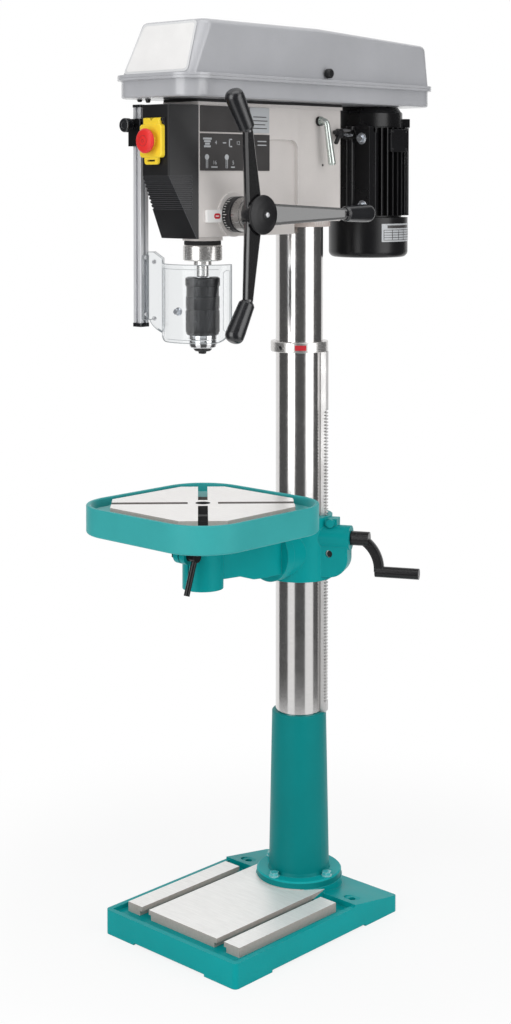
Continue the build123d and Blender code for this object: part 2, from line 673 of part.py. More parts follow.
def lift_spaces():
    """Room for the rack, the gears and their shafts inside the housing."""
    rack_tip = RACK_PITCH_R + SHORT_ADDENDUM * RACK_MODULE
    side = RACK_HALF_WIDTH + 0.5
    low = BRACKET_BOTTOM - 10
    high = BRACKET_TOP + 10
    space = block(COLUMN_R - 5, rack_tip + 0.6, -side, side, low, high)
    space += rod_y(LIFT_PITCH_R + RACK_MODULE + 0.5, -side, side, LIFT_AXIS_R, LIFT_AXIS_Z)
    wheel_r = WHEEL_PITCH_R + RACK_MODULE + 0.6
    wheel = (-WORM_SIDE - WORM_HALF_WIDTH - 0.5, -side + 0.5)
    space += rod_y(wheel_r, wheel[0], wheel[1], LIFT_AXIS_R, LIFT_AXIS_Z)
    space += rod_y(LIFT_SHAFT_R + RUN, -WORM_SIDE - 19, side + 5.5, LIFT_AXIS_R, LIFT_AXIS_Z)
    worm_r = WORM_PITCH_R + RACK_MODULE + 0.5
    space += rod_x(worm_r, WORM_THREAD[0] - 5.5, WORM_THREAD[1] + 8, -WORM_SIDE, WORM_Z)
    space += rod_x(WORM_SHAFT_R + RUN, WORM_THREAD[1] + 7, BARREL_END + 1, -WORM_SIDE, WORM_Z)
    return space


def make_bracket():
    body = disc(BRACKET_R, BRACKET_BOTTOM, BRACKET_TOP)
    body += rod_y(TILT_FLANGE_R - 1.5, TILT_FACE_Y, 0, 0, TILT_AXIS_Z)
    body += block(BRACKET_LOCK_X - 14, -COLUMN_R, -15, 15, BRACKET_BOTTOM + 20, BRACKET_TOP - 20)
    body += Rot(0, 0, RACK_TURN) * lift_housing()
    low = BRACKET_BOTTOM - 10
    high = BRACKET_TOP + 10
    body -= disc(COLUMN_R + RUN, low, high)
    body -= Rot(0, 0, RACK_TURN) * lift_spaces()
    body -= block(BRACKET_LOCK_X - 20, -COLUMN_R + 5, -1.5, 1.5, low, high)
    body -= rod_y(LEVER_BOLT_R + RUN, -20, 20, BRACKET_LOCK_X, BRACKET_LOCK_Z)
    body -= rod_y(TILT_BOLT_R + SEAT, TILT_FACE_Y - 1, -COLUMN_R - 12, 0, TILT_AXIS_Z)
    return body


def make_bracket_lock():
    z = BRACKET_LOCK_Z
    body = rod_y(LEVER_BOLT_R, -22, 20, BRACKET_LOCK_X, z)
    body += Pos(BRACKET_LOCK_X, -15 - GAP, z) * Rot(90, 0, 0) * extrude(RegularPolygon(11, 6), 8)
    body += rod_y(11, 15 + GAP, 33, BRACKET_LOCK_X, z)
    body += rod((BRACKET_LOCK_X, 25, z), (BRACKET_LOCK_X - 26, 40, z - 72), 5.5)
    body += Pos(BRACKET_LOCK_X - 26, 40, z - 72) * Sphere(9)
    return body


# Table and arm

def make_tilt_bolt():
    head = TILT_FACE_Y - TILT_FLANGE_THICK - 2 * GAP
    body = rod_y(TILT_BOLT_R, head, -COLUMN_R - 13, 0, TILT_AXIS_Z)
    return body + Pos(0, head, TILT_AXIS_Z) * Rot(90, 0, 0) * extrude(RegularPolygon(17, 6), 12)


def arm_web(inset, low_drop, high):
    """Tapered web from the tilting flange to the boss, or the hollow under it."""
    root = TILT_FACE_Y - GAP - TILT_FLANGE_THICK
    reach = SPINDLE_Y - root
    low = ARM_BOSS_BOTTOM + 1 - low_drop
    under = [
        (root + 2, low),
        (root + 0.27 * reach, low),
        (root + 0.42 * reach, low + 2),
        (root + 0.62 * reach, low + 13),
        (SPINDLE_Y, low + 16),
        (SPINDLE_Y, high),
        (root + 2, high),
    ]
    wide = ARM_ROOT_HALF - inset
    slim = ARM_END_HALF - inset
    sides = [(wide, root + 2), (slim, SPINDLE_Y), (-slim, SPINDLE_Y), (-wide, root + 2)]
    return side_plate(under, ARM_ROOT_HALF) & plan(sides, low - 1, high + 1)


def make_table_arm():
    back = TILT_FACE_Y - GAP
    flange_front = back - TILT_FLANGE_THICK
    boss_top = TABLE_BOTTOM - GAP
    clamp_y = SPINDLE_Y - CLAMP_REACH
    body = arm_web(0, 0, CLAMP_Z + 6) - arm_web(ARM_WALL, 40, TILT_AXIS_Z + 22)
    body += rod_y(TILT_FLANGE_R, flange_front, back, 0, TILT_AXIS_Z)
    body += disc(ARM_BOSS_R, ARM_BOSS_BOTTOM, boss_top, 0, SPINDLE_Y)
    body += block(-CLAMP_HALF, CLAMP_HALF, clamp_y, SPINDLE_Y, CLAMP_Z - 16, CLAMP_Z + 16)
    body += rod_x(16, -CLAMP_HALF, CLAMP_HALF, clamp_y, CLAMP_Z)
    body -= disc(STEM_R + RUN, ARM_BOSS_BOTTOM - 1, boss_top + 1, 0, SPINDLE_Y)
    body -= block(-1.5, 1.5, clamp_y - 20, SPINDLE_Y, ARM_BOSS_BOTTOM - 1, boss_top + 1)
    body -= rod_x(LEVER_BOLT_R + RUN, -CLAMP_HALF - 3, CLAMP_HALF + 3, clamp_y, CLAMP_Z)
    return body - rod_y(TILT_BOLT_R + RUN, flange_front - 1, back + 1, 0, TILT_AXIS_Z)


def make_table_lock():
    y = SPINDLE_Y - CLAMP_REACH
    lever_x = CLAMP_HALF + 14
    end = (lever_x, y - 22, CLAMP_Z - 67)
    body = rod_x(LEVER_BOLT_R, -CLAMP_HALF - 3, CLAMP_HALF + 3, y, CLAMP_Z)
    body += Pos(-CLAMP_HALF - GAP, y, CLAMP_Z) * Rot(0, -90, 0) * extrude(RegularPolygon(11, 6), 9)
    body += rod_x(9.5, CLAMP_HALF + GAP, CLAMP_HALF + 20, y, CLAMP_Z)
    body += rod((lever_x, y, CLAMP_Z), end, 5.5)
    return body


def table_outline(inset, height):
    half = TABLE_HALF - inset
    return rounded_plan(half, SPINDLE_Y - half, SPINDLE_Y + half, TABLE_CORNER_R - inset, height)


def table_bed():
    half = TABLE_BED_HALF
    cut = half - TABLE_BED_CUT
    corners = [(half, -cut), (half, cut), (cut, half), (-cut, half)]
    corners += [(-x, -y) for x, y in corners]
    corners = [(x, y + SPINDLE_Y) for x, y in corners]
    return plan(corners, TABLE_TROUGH - 1, TABLE_TOP)


def make_table():
    body = extrude(table_outline(0, TABLE_BOTTOM), TABLE_TOP - TABLE_BOTTOM)
    body = fillet(body.edges().group_by(Axis.Z)[0], 4)
    body -= extrude(table_outline(TABLE_RIM_WALL, TABLE_TROUGH), TABLE_TOP)
    body -= extrude(table_outline(TABLE_RIM_WALL, TABLE_BOTTOM - 1), TABLE_PLATE_BOTTOM - TABLE_BOTTOM + 1)
    rim_edges = [e for e in body.edges() if abs(e.center().Z - TABLE_TOP) < 0.1]
    body = fillet(rim_edges, 2.5)
    body += table_bed()
    body += disc(ARM_BOSS_R + 4, TABLE_BOTTOM, TABLE_PLATE_BOTTOM + 1, 0, SPINDLE_Y)
    reach = TABLE_HALF - TABLE_RIM_WALL / 2
    low = TABLE_BOTTOM + 8
    high = TABLE_PLATE_BOTTOM + 1
    body += block(-reach, reach, SPINDLE_Y - 5, SPINDLE_Y + 5, low, high)
    body += block(-5, 5, SPINDLE_Y - reach, SPINDLE_Y + reach, low, high)
    body += disc(STEM_R, STEM_BOTTOM, TABLE_BOTTOM + 1, 0, SPINDLE_Y)
    slot_end = (TABLE_BED_HALF - TABLE_BED_CUT / 2) * sqrt(2)
    half = TABLE_SLOT_WIDTH / 2
    through = ARM_BOSS_R + 6
    for quarter in range(4):
        slot = block(TABLE_SLOT_START, slot_end + 1, -half, half, TABLE_TROUGH, TABLE_TOP + 1)
        slot += block(through, slot_end - 22, -half, half, TABLE_BOTTOM, TABLE_TOP)
        body -= Pos(0, SPINDLE_Y, 0) * Rot(0, 0, 45 + 90 * quarter) * slot
    return body - disc(TABLE_HOLE_R, STEM_BOTTOM - 1, TABLE_TOP + 1, 0, SPINDLE_Y)


# Head casting

def make_head():
    outline = [
        (-HEAD_HALF_FRONT, HEAD_FRONT),
        (HEAD_HALF_FRONT, HEAD_FRONT),
        (HEAD_HALF_FRONT, HEAD_RAMP_Y),
        (HEAD_HALF_REAR, HEAD_STEP_Y),
        (HEAD_HALF_REAR, HEAD_REAR),
        (-HEAD_HALF_REAR, HEAD_REAR),
        (-HEAD_HALF_REAR, HEAD_STEP_Y),
        (-HEAD_HALF_FRONT, HEAD_RAMP_Y),
    ]
    body = plan(outline, HEAD_BOTTOM, HEAD_TOP)
    body = fillet(body.edges().filter_by(Axis.Z).group_by(Axis.Y)[-1], 10)
    at_corner = (Align.MAX, Align.MAX)
    panel = Rectangle(HEAD_STEP_Y - HEAD_FRONT + 40, HEAD_STEP_Z - HEAD_BOTTOM + 40, align=at_corner)
    panel = fillet(panel.vertices().group_by(Axis.X)[-1].group_by(Axis.Y)[-1], 18)
    cut = extrude(Plane.YZ.offset(HEAD_HALF_FRONT) * Pos(HEAD_STEP_Y, HEAD_STEP_Z) * panel, 20)
    body -= mirrored(cut)
    wide = HEAD_HALF_REAR + 1
    body -= block(-wide, wide, HEAD_STEP_Y, HEAD_REAR + 1, HEAD_BOTTOM - 1, HEAD_REAR_BOTTOM)
    body += disc(HEAD_CLAMP_R, HEAD_CLAMP_BOTTOM, HEAD_REAR_BOTTOM + 5)
    body += disc(QUILL_BOSS_R, QUILL_BOSS_BOTTOM, HEAD_BOTTOM + 1, 0, SPINDLE_Y)
    body += mirrored(rod_x(FEED_BOSS_R, HEAD_HALF_FRONT - 1, FEED_BOSS_X, FEED_Y, FEED_Z))
    body += disc(PULLEY_BEARING_R + 12, HEAD_TOP - 1, PAN_BOTTOM, 0, SPINDLE_Y)
    for x, y in pan_bosses():
        body += disc(9, HEAD_TOP - 1, PAN_BOTTOM, x, y)
    body -= disc(COLUMN_R + SEAT, HEAD_CLAMP_BOTTOM - 10, COLUMN_TOP)
    cavity = HEAD_HALF_FRONT - HEAD_CAVITY_WALL
    body -= block(-cavity, cavity, *HEAD_CAVITY_Y, HEAD_REAR_BOTTOM + 12, HEAD_TOP + 1)
    body -= disc(QUILL_R + RUN, QUILL_BOSS_BOTTOM - 1, QUILL_TOP + 15, 0, SPINDLE_Y)
    body -= disc(SPINDLE_R + 8, QUILL_TOP, PULLEY_SEAT + 1, 0, SPINDLE_Y)
    body -= disc(PULLEY_BEARING_R + SEAT, PULLEY_SEAT, PAN_BOTTOM + 1, 0, SPINDLE_Y)
    body -= rod_x(FEED_SHAFT_R + RUN, -FEED_BOSS_X - 1, 0, FEED_Y, FEED_Z)
    body -= rod_x(FEED_JOURNAL_R + RUN, -FEED_HALF_WIDTH - 0.5, FEED_BOSS_X + 1, FEED_Y, FEED_Z)
    body -= disc(IDLER_PIVOT_R + RUN, HEAD_TOP - IDLER_PIVOT_DEPTH - 2, HEAD_TOP + 1, *IDLER_PIVOT)
    for x in (-BAR_X, BAR_X):
        body -= rod_y(BAR_R + RUN, BAR_FRONT - MOTOR_SLIDE - 3, HEAD_REAR + 1, x, BAR_Z)
    lever_tip = LEVER_PITCH_R + LEVER_MODULE + 0.6
    body -= rod_x(lever_tip, BAR_X - 10, BAR_X + 10, LEVER_Y, LEVER_Z)
    body -= rod_x(LEVER_SHAFT_R + RUN, BAR_X, HEAD_HALF_REAR + 1, LEVER_Y, LEVER_Z)
    body -= rod_x(SLIDE_LOCK_R + RUN, BAR_X, HEAD_HALF_REAR + 1, SLIDE_LOCK_Y, BAR_Z)
    return body


def pan_bosses():
    return [(x, y) for x in (-34.0, 34.0) for y in (HEAD_FRONT + 11.0, HEAD_REAR - 14.0)]


# Front cover and switch

def cover_wedge(inset):
    """Outer or inner shape of the front cover."""
    front = COVER_FRONT + inset
    back = HEAD_FRONT - GAP + (2 if inset else 0)
    profile = [
        (back, COVER_BOTTOM + inset),
        (COVER_CHIN_Y + (inset if inset else 0), COVER_BOTTOM + inset),
        (front, COVER_BREAK_Z + inset * 0.6),
        (front, COVER_TOP - inset),
        (back, COVER_TOP - inset),
    ]
    wedge = side_plate(profile, HEAD_HALF_FRONT)
    half_front = COVER_HALF_FRONT - inset
    half_back = HEAD_HALF_FRONT - inset
    sides = [(-half_front, front), (half_front, front), (half_back, back), (-half_back, back)]
    return wedge & plan(sides, COVER_BOTTOM - 1, COVER_TOP + 1)


def make_front_cover():
    body = cover_wedge(0)
    body = fillet([e for e in body.edges() if abs(e.center().Y - COVER_FRONT) < 0.1 and e.length > 100], 3)
    skin = body - cover_wedge(RIB_DEPTH)
    for index in range(RIB_COUNT):
        z = COVER_BREAK_Z - 2 - RIB_PITCH * index
        body -= skin & block(-60, 60, COVER_FRONT - 5, HEAD_FRONT - 14, z - RIB_WIDTH / 2, z + RIB_WIDTH / 2)
    body -= cover_wedge(COVER_WALL)
    half = SWITCH_BODY_HALF + 0.5
    body -= block(-half, half, COVER_FRONT - 1, COVER_FRONT + 5, SWITCH_Z - half - 4, SWITCH_Z + half + 4)
    return body


def make_switch_box():
    plate = RectangleRounded(2 * SWITCH_HALF_WIDTH, 2 * SWITCH_HALF_HEIGHT, 5)
    body = extrude(Plane.XZ.offset(-COVER_FRONT) * Pos(0, SWITCH_Z) * plate, SWITCH_PLATE)
    half = SWITCH_BODY_HALF
    back = COVER_FRONT + 40
    body += block(-half, half, COVER_FRONT - 1, back, SWITCH_Z - half - 3, SWITCH_Z + half + 3)
    for x in (-BUTTON_X, BUTTON_X):
        body -= rod_y(BUTTON_R + RUN, COVER_FRONT - 5, COVER_FRONT + BUTTON_DEPTH, x, SWITCH_Z)
    top = SWITCH_Z + SWITCH_HALF_HEIGHT
    for x in (-FLAP_EAR_X, FLAP_EAR_X):
        body += rod_x(FLAP_KNUCKLE_R, x - 2.5, x + 2.5, FLAP_HINGE_Y, FLAP_HINGE_Z)
        body += block(x - 2.5, x + 2.5, FLAP_BACK - 2, COVER_FRONT, top + 1, FLAP_HINGE_Z + 1)
        body += block(x - 2.5, x + 2.5, COVER_FRONT - SWITCH_PLATE, COVER_FRONT, top - 4, top + 2)
    return body + rod_x(FLAP_PIN_R, -FLAP_EAR_X, FLAP_EAR_X, FLAP_HINGE_Y, FLAP_HINGE_Z)


def make_flap():
    shell = RectangleRounded(2 * SWITCH_HALF_WIDTH + 2, 2 * SWITCH_HALF_HEIGHT, 6)
    room = RectangleRounded(2 * SWITCH_HALF_WIDTH - 5, 2 * SWITCH_HALF_HEIGHT - 10, 4)
    body = extrude(Plane.XZ.offset(-FLAP_BACK) * Pos(0, SWITCH_Z) * shell, FLAP_DEPTH)
    body = fillet(body.edges().group_by(Axis.Y)[0], 2)
    body -= extrude(Plane.XZ.offset(-FLAP_BACK - 1) * Pos(0, SWITCH_Z) * room, FLAP_DEPTH - FLAP_WALL + 1)
    body += rod_y(FLAP_BOSS_R, FLAP_FRONT - FLAP_BOSS_DEPTH, FLAP_FRONT + 1, 0, SWITCH_Z)
    chin = SWITCH_Z - SWITCH_HALF_HEIGHT
    tab = extrude(Plane.XZ.offset(-FLAP_BACK + 2) * Pos(0, chin - 4) * RectangleRounded(35, 17, 6), FLAP_DEPTH - 4)
    body += tab - block(-9.5, 9.5, FLAP_FRONT, FLAP_BACK, chin - 7, chin - 4)
    body -= rod_y(MUSHROOM_STEM_R + RUN, FLAP_FRONT - FLAP_BOSS_DEPTH - 1, FLAP_BACK, 0, SWITCH_Z)
    half = FLAP_TAB_HALF
    top = SWITCH_Z + SWITCH_HALF_HEIGHT
    tab = block(-half, half, FLAP_FRONT + 2, FLAP_BACK - 0.5, top - 4, FLAP_HINGE_Z + 3)
    tab = fillet([e for e in tab.edges() if e.center().Z > top and e.center().Y < FLAP_FRONT + 3], 2.5)
    body += tab + rod_x(FLAP_KNUCKLE_R, -half, half, FLAP_HINGE_Y, FLAP_HINGE_Z)
    notch = [(-5, FLAP_HINGE_Z + 4), (0, FLAP_HINGE_Z - 3), (5, FLAP_HINGE_Z + 4)]
    body -= extrude(Plane.XZ.offset(-FLAP_BACK - 5) * make_face(Polyline(*notch, close=True)), FLAP_DEPTH + 10)
    return body - rod_x(FLAP_PIN_R + RUN, -30, 30, FLAP_HINGE_Y, FLAP_HINGE_Z)


def make_mushroom():
    profile = [
        (0, MUSHROOM_FACE),
        (MUSHROOM_R * 0.6, MUSHROOM_FACE + 0.8),
        (MUSHROOM_R - 3, MUSHROOM_FACE + 2.2),
        (MUSHROOM_R, MUSHROOM_FACE + 5),
        (MUSHROOM_R, MUSHROOM_BACK - 2),
        (MUSHROOM_R - 4, MUSHROOM_BACK),
        (MUSHROOM_STEM_R, MUSHROOM_BACK),
        (MUSHROOM_STEM_R, MUSHROOM_STEM_END),
        (0, MUSHROOM_STEM_END),
    ]
    body = revolve(make_face(Polyline(*profile, close=True)), Axis.Y)
    return Pos(0, 0, SWITCH_Z) * body


def make_button(x):
    return rod_y(BUTTON_R, BUTTON_FACE, COVER_FRONT + BUTTON_DEPTH - BUTTON_TRAVEL - GAP, x, SWITCH_Z)


# Quill, spindle and chuck

def make_quill():
    low, high = QUILL_COLLAR
    seat = BEARING_R + SEAT
    body = turned([
        (seat, low),
        (QUILL_COLLAR_R - 2, low),
        (QUILL_COLLAR_R, low + 2),
        (QUILL_COLLAR_R, high - 2),
        (QUILL_COLLAR_R - 2, high),
        (QUILL_R, high),
        (QUILL_R, QUILL_TOP),
        (seat, QUILL_TOP),
        (seat, QUILL_TOP - BEARING_HEIGHT),
        (QUILL_BORE_R, QUILL_TOP - BEARING_HEIGHT),
        (QUILL_BORE_R, low + BEARING_HEIGHT),
        (seat, low + BEARING_HEIGHT),
    ], 0, SPINDLE_Y)
    side = FEED_HALF_WIDTH + 0.5
    tip = FEED_RACK_PITCH + SHORT_ADDENDUM * FEED_MODULE
    rack = (FEED_Z - 12, FEED_Z + QUILL_STROKE + 12)
    room = block(-side, side, SPINDLE_Y + tip, SPINDLE_Y + QUILL_R + 1, *rack)
    for middle in gap_middles(FEED_MODULE, FEED_Z, rack[0] + 3, rack[1] - 3):
        points = [(SPINDLE_Y + reach, z) for reach, z in rack_gap(FEED_MODULE, middle, FEED_RACK_PITCH)]
        room += side_plate(points, side)
    return body - room


def make_quill_bearings():
    low = QUILL_COLLAR[0]
    inner = SPINDLE_R + SEAT
    bearings = []
    for bottom in (low, QUILL_TOP - BEARING_HEIGHT):
        bearings.append(ring(BEARING_R, inner, bottom + SEAT, bottom + BEARING_HEIGHT - SEAT, 0, SPINDLE_Y))
    return bearings


def make_spindle():
    nose_top = QUILL_COLLAR[0] - 0.6
    shoulder = QUILL_TOP + 2
    body = turned([
        (0, ARBOR_BOTTOM),
        (ARBOR_R, ARBOR_BOTTOM),
        (ARBOR_R, CHUCK_TOP),
        (11, CHUCK_TOP + 1),
        (11, nose_top - 9),
        (SPINDLE_NOSE_R, nose_top - 8),
        (SPINDLE_NOSE_R, nose_top),
        (SPINDLE_R, nose_top),
        (SPINDLE_R, shoulder),
        (SPLINE_R, shoulder),
        (SPLINE_R, PULLEY_TOP),
        (0, PULLEY_TOP),
    ], 0, SPINDLE_Y)
    for low, high in ((-20, -SPLINE_FLAT), (SPLINE_FLAT, 20)):
        body -= block(low, high, SPINDLE_Y - 20, SPINDLE_Y + 20, shoulder + 6, PULLEY_TOP + 1)
    return body


def jaw_rod(radius, low, high, turn):
    """Slanted round bar of one chuck jaw."""
    slant = tan(radians(JAW_SLANT))
    near = JAW_TIP_REACH + (low - JAW_TIP) * slant
    far = JAW_TIP_REACH + (high - JAW_TIP) * slant
    bar = rod((near, 0, low), (far, 0, high), radius)
    return Pos(0, SPINDLE_Y, 0) * Rot(0, 0, turn) * bar


def make_jaw(turn):
    body = jaw_rod(JAW_R, JAW_TIP - 8, JAW_TOP, turn)
    body &= disc(CHUCK_R, JAW_TIP, JAW_TOP + 4, 0, SPINDLE_Y)
    reach = 40.0
    edge = 0.35
    wedge = plan([
        (edge, 0),
        (edge + reach, -reach * tan(radians(60))),
        (edge + reach, reach * tan(radians(60))),
    ], JAW_TIP - 10, JAW_TOP + 10)
    body &= Pos(0, SPINDLE_Y, 0) * Rot(0, 0, turn) * wedge
    return body - disc(0.9, JAW_TIP - 1, JAW_TOP + 10, 0, SPINDLE_Y)


def make_chuck_body():
    nose = CHUCK_SLEEVE_BOTTOM - GAP
    body = turned([
        (0, CHUCK_NOSE_BOTTOM),
        (CHUCK_NOSE_R, CHUCK_NOSE_BOTTOM),
        (CHUCK_NOSE_R + 2, CHUCK_NOSE_BOTTOM + 2),
        (CHUCK_R - 5, nose - 9),
        (CHUCK_R - 4, nose - 7),
        (CHUCK_R - 4, nose),
        (CHUCK_CORE_R, nose),
        (CHUCK_CORE_R, CHUCK_TOP),
        (ARBOR_R + SEAT, CHUCK_TOP),
        (ARBOR_R + SEAT, ARBOR_BOTTOM),
        (0, ARBOR_BOTTOM),
    ], 0, SPINDLE_Y)
    for turn in JAW_TURNS:
        body -= jaw_rod(JAW_R + RUN, CHUCK_NOSE_BOTTOM - 12, JAW_TOP + 22, turn)
    return body - disc(4.5, CHUCK_NOSE_BOTTOM - 1, JAW_TOP + 20, 0, SPINDLE_Y)


def make_chuck_sleeve():
    low = CHUCK_SLEEVE_BOTTOM
    high = CHUCK_TOP - 1
    return turned([
        (CHUCK_R - 4, low),
        (CHUCK_R - 1.5, low),
        (CHUCK_R, low + 2),
        (CHUCK_R, low + 22),
        (CHUCK_R - 1, low + 23),
        (CHUCK_R - 1, low + 25),
        (CHUCK_R, low + 26),
        (CHUCK_R, high - 14),
        (CHUCK_R - 1, high - 13),
        (CHUCK_R - 1, high - 11),
        (CHUCK_R + 0.8, high - 10),
        (CHUCK_R + 0.8, high - 2),
        (CHUCK_R - 1.2, high),
        (CHUCK_CORE_R + RUN, high),
        (CHUCK_CORE_R + RUN, high - 18),
        (CHUCK_R - 4, high - 18),
    ], 0, SPINDLE_Y)


# Feed shaft, hub and handles

def make_pinion_shaft():
    plane = Plane(origin=(-FEED_HALF_WIDTH, FEED_Y, FEED_Z), x_dir=(0, -1, 0), z_dir=(1, 0, 0))
    body = extrude(plane * gear_outline(FEED_MODULE, FEED_TEETH), 2 * FEED_HALF_WIDTH)
    body += rod_x(FEED_SHAFT_R, -FEED_BOSS_X - 24, 20, FEED_Y, FEED_Z)
    body += rod_x(FEED_JOURNAL_R, 17, HUB_X - 4, FEED_Y, FEED_Z)
    end = -FEED_BOSS_X - 25
    return body - block(end, end + 15, FEED_Y - 1, FEED_Y + 1, FEED_Z - 20, FEED_Z + 20)


def make_feed_bush():
    inner = FEED_JOURNAL_R + RUN
    return turned_x([
        (FEED_BOSS_X, inner),
        (FEED_BOSS_X, FEED_BOSS_R - 8),
        (FEED_BUSH_X - 3, FEED_BOSS_R - 8),
        (FEED_BUSH_X - 1, FEED_BOSS_R - 11),
        (FEED_BUSH_X - 1, inner),
    ], FEED_Y, FEED_Z)


def make_depth_ring():
    inner = FEED_JOURNAL_R + RUN
    outer = HUB_R - 1.5
    return turned_x([
        (FEED_BUSH_X, inner),
        (FEED_BUSH_X, outer - 1),
        (FEED_BUSH_X + 1, outer),
        (DEPTH_RING_X - 8, outer),
        (DEPTH_RING_X - 7, outer - 1.5),
        (DEPTH_RING_X - 2, outer - 1.5),
        (DEPTH_RING_X - 1, outer - 2.5),
        (DEPTH_RING_X - 1, inner),
    ], FEED_Y, FEED_Z)


def make_feed_hub():
    body = turned_x([
        (DEPTH_RING_X, 0),
        (DEPTH_RING_X, HUB_R - 2),
        (DEPTH_RING_X + 2, HUB_R),
        (HUB_X, HUB_R),
        (HUB_X, 0),
    ], 0, 0)
    arm_x = DEPTH_RING_X + 8.5
    root = Plane(origin=(arm_x, HUB_R - 14, 0), x_dir=(0, 0, 1), z_dir=(0, 1, 0))
    tip = Plane(origin=(GRIP_X, ARM_BEND_REACH, 0), x_dir=(0, 0, 1), z_dir=(0, 1, 0))
    arm = loft([root * RectangleRounded(42, 16, 7), tip * RectangleRounded(21, 14, 6)])
    stub = rod_y(GRIP_STUD_R, ARM_BEND_REACH - 4, ARM_BEND_REACH + GRIP_STUD_LENGTH, GRIP_X, 0)
    for index in range(3):
        body += Rot(120 * index, 0, 0) * (arm + stub)
    body -= rod_x(FEED_JOURNAL_R + SEAT, DEPTH_RING_X - 1, HUB_X - 4 + SEAT, 0, 0)
    return Pos(0, FEED_Y, FEED_Z) * body


def make_grips():
    start = ARM_BEND_REACH + 1
    end = GRIP_REACH
    profile = make_face(Polyline(
        (0, start + GRIP_STUD_LENGTH),
        (GRIP_STUD_R + SEAT, start + GRIP_STUD_LENGTH),
        (GRIP_STUD_R + SEAT, start),
        (GRIP_R - 5, start),
        (GRIP_R - 2.5, start + 4),
        (GRIP_R, end - 22),
        (GRIP_R, end),
        (0, end),
        close=True,
    ))
    grip = revolve(profile, Axis.Y)
    grip = Pos(GRIP_X, 0, 0) * fillet(grip.edges().group_by(Axis.Y)[-1], 0.75 * GRIP_R)
    return [Pos(0, FEED_Y, FEED_Z) * Rot(120 * index, 0, 0) * grip for index in range(3)]


def make_hub_cap():
    return turned_x([
        (HUB_X, 0),
        (HUB_X, HUB_CAP_R - 1),
        (HUB_X + 2, HUB_CAP_R),
        (HUB_X + 4, HUB_CAP_R - 1.5),
        (HUB_X + 8, HUB_CAP_R * 0.66),
        (HUB_CAP_X - 0.8, HUB_CAP_R * 0.3),
        (HUB_CAP_X - 0.8, 6),
        (HUB_CAP_X + 1.2, 5),
        (HUB_CAP_X + 1.2, 0),
    ], FEED_Y, FEED_Z)


def make_spring_cap():
    inner_end = -FEED_BOSS_X
    outer_end = inner_end - 30
    body = turned_x([
        (outer_end, 0),
        (outer_end, FEED_BOSS_R - 8),
        (outer_end + 3, FEED_BOSS_R - 4),
        (inner_end, FEED_BOSS_R - 4),
        (inner_end, FEED_BOSS_R - 7),
        (outer_end + 3, FEED_BOSS_R - 7),
        (outer_end + 3, 0),
    ], FEED_Y, FEED_Z)
    return body


def make_return_spring():
    """Flat spiral spring of half turns, hooked on the feed shaft and lying on the cap wall."""
    step = 3.0
    strip = 1.0
    start_r = FEED_SHAFT_R + 1.0
    half_turns = int((FEED_BOSS_R - 7 - strip - start_r) * 2 / step)
    wires = []
    for index in range(half_turns):
        radius = start_r + step / 4 + index * step / 2
        centre = (-1) ** index * step / 4
        begin = 0 if index % 2 == 0 else 180
        wires.append(Pos(centre, 0) * CenterArc((0, 0), radius, begin, 180))
    coil = trace(Curve() + wires, strip)
    plane = Plane(origin=(-FEED_BOSS_X - 22, FEED_Y, FEED_Z), x_dir=(0, 1, 0), z_dir=(1, 0, 0))
    return extrude(plane * coil, 14)


# Pulleys and belts

def stepped_pulley(steps, bore, centre):
    points = [(bore, PULLEY_BOTTOM)]
    for index, size in enumerate(steps):
        outer = size / 2
        low = PULLEY_BOTTOM + index * PULLEY_STEP
        middle = low + PULLEY_STEP / 2
        floor = outer - GROOVE_DEPTH
        points += [
            (outer, low),
            (outer, middle - GROOVE_TOP / 2),
            (floor, middle - GROOVE_FLOOR / 2),
            (floor, middle + GROOVE_FLOOR / 2),
            (outer, middle + GROOVE_TOP / 2),
            (outer, low + PULLEY_STEP),
        ]
    points.append((bore, PULLEY_BOTTOM + len(steps) * PULLEY_STEP))
    return turned(points, *centre)


def make_spindle_pulley():
    bore = PULLEY_SLEEVE_R - 1
    body = stepped_pulley(SPINDLE_STEPS, bore, (0, SPINDLE_Y))
    body += disc(PULLEY_SLEEVE_R, PULLEY_SEAT + 2, PULLEY_TOP - 2, 0, SPINDLE_Y)
    body += disc(PULLEY_SLEEVE_R + 3, PAN_BOTTOM + 4, PULLEY_BOTTOM + 1, 0, SPINDLE_Y)
    hole = disc(SPLINE_R + RUN, PULLEY_SEAT, PULLEY_TOP + 1, 0, SPINDLE_Y)
    flat = SPLINE_FLAT + RUN
    hole &= block(-flat, flat, SPINDLE_Y - 20, SPINDLE_Y + 20, PULLEY_SEAT, PULLEY_TOP + 1)
    return body - hole


def make_pulley_bearings():
    inner = PULLEY_SLEEVE_R + SEAT
    bearings = []
    for low in (PULLEY_SEAT + SEAT, PULLEY_SEAT + PULLEY_BEARING_HEIGHT + 3):
        bearings.append(ring(PULLEY_BEARING_R, inner, low, low + PULLEY_BEARING_HEIGHT, 0, SPINDLE_Y))
    return bearings


def make_idler_arm():
    (px, py), (ix, iy) = IDLER_PIVOT, IDLER_AXIS
    low = IDLER_ARM_LOW
    high = IDLER_ARM_HIGH
    body = disc(IDLER_PIVOT_R, HEAD_TOP - IDLER_PIVOT_DEPTH, high, px, py)
    body += disc(IDLER_PIVOT_R + 6, low, high, px, py)
    body += disc(IDLER_PIVOT_R + 5, low, high, ix, iy)
    turn = degrees(atan2(iy - py, ix - px))
    length = sqrt((ix - px) ** 2 + (iy - py) ** 2)
    body += Pos(px, py, 0) * Rot(0, 0, turn) * block(0, length, -13, 13, low, high)
    return body + disc(IDLER_PIN_R, low, PULLEY_TOP, ix, iy)


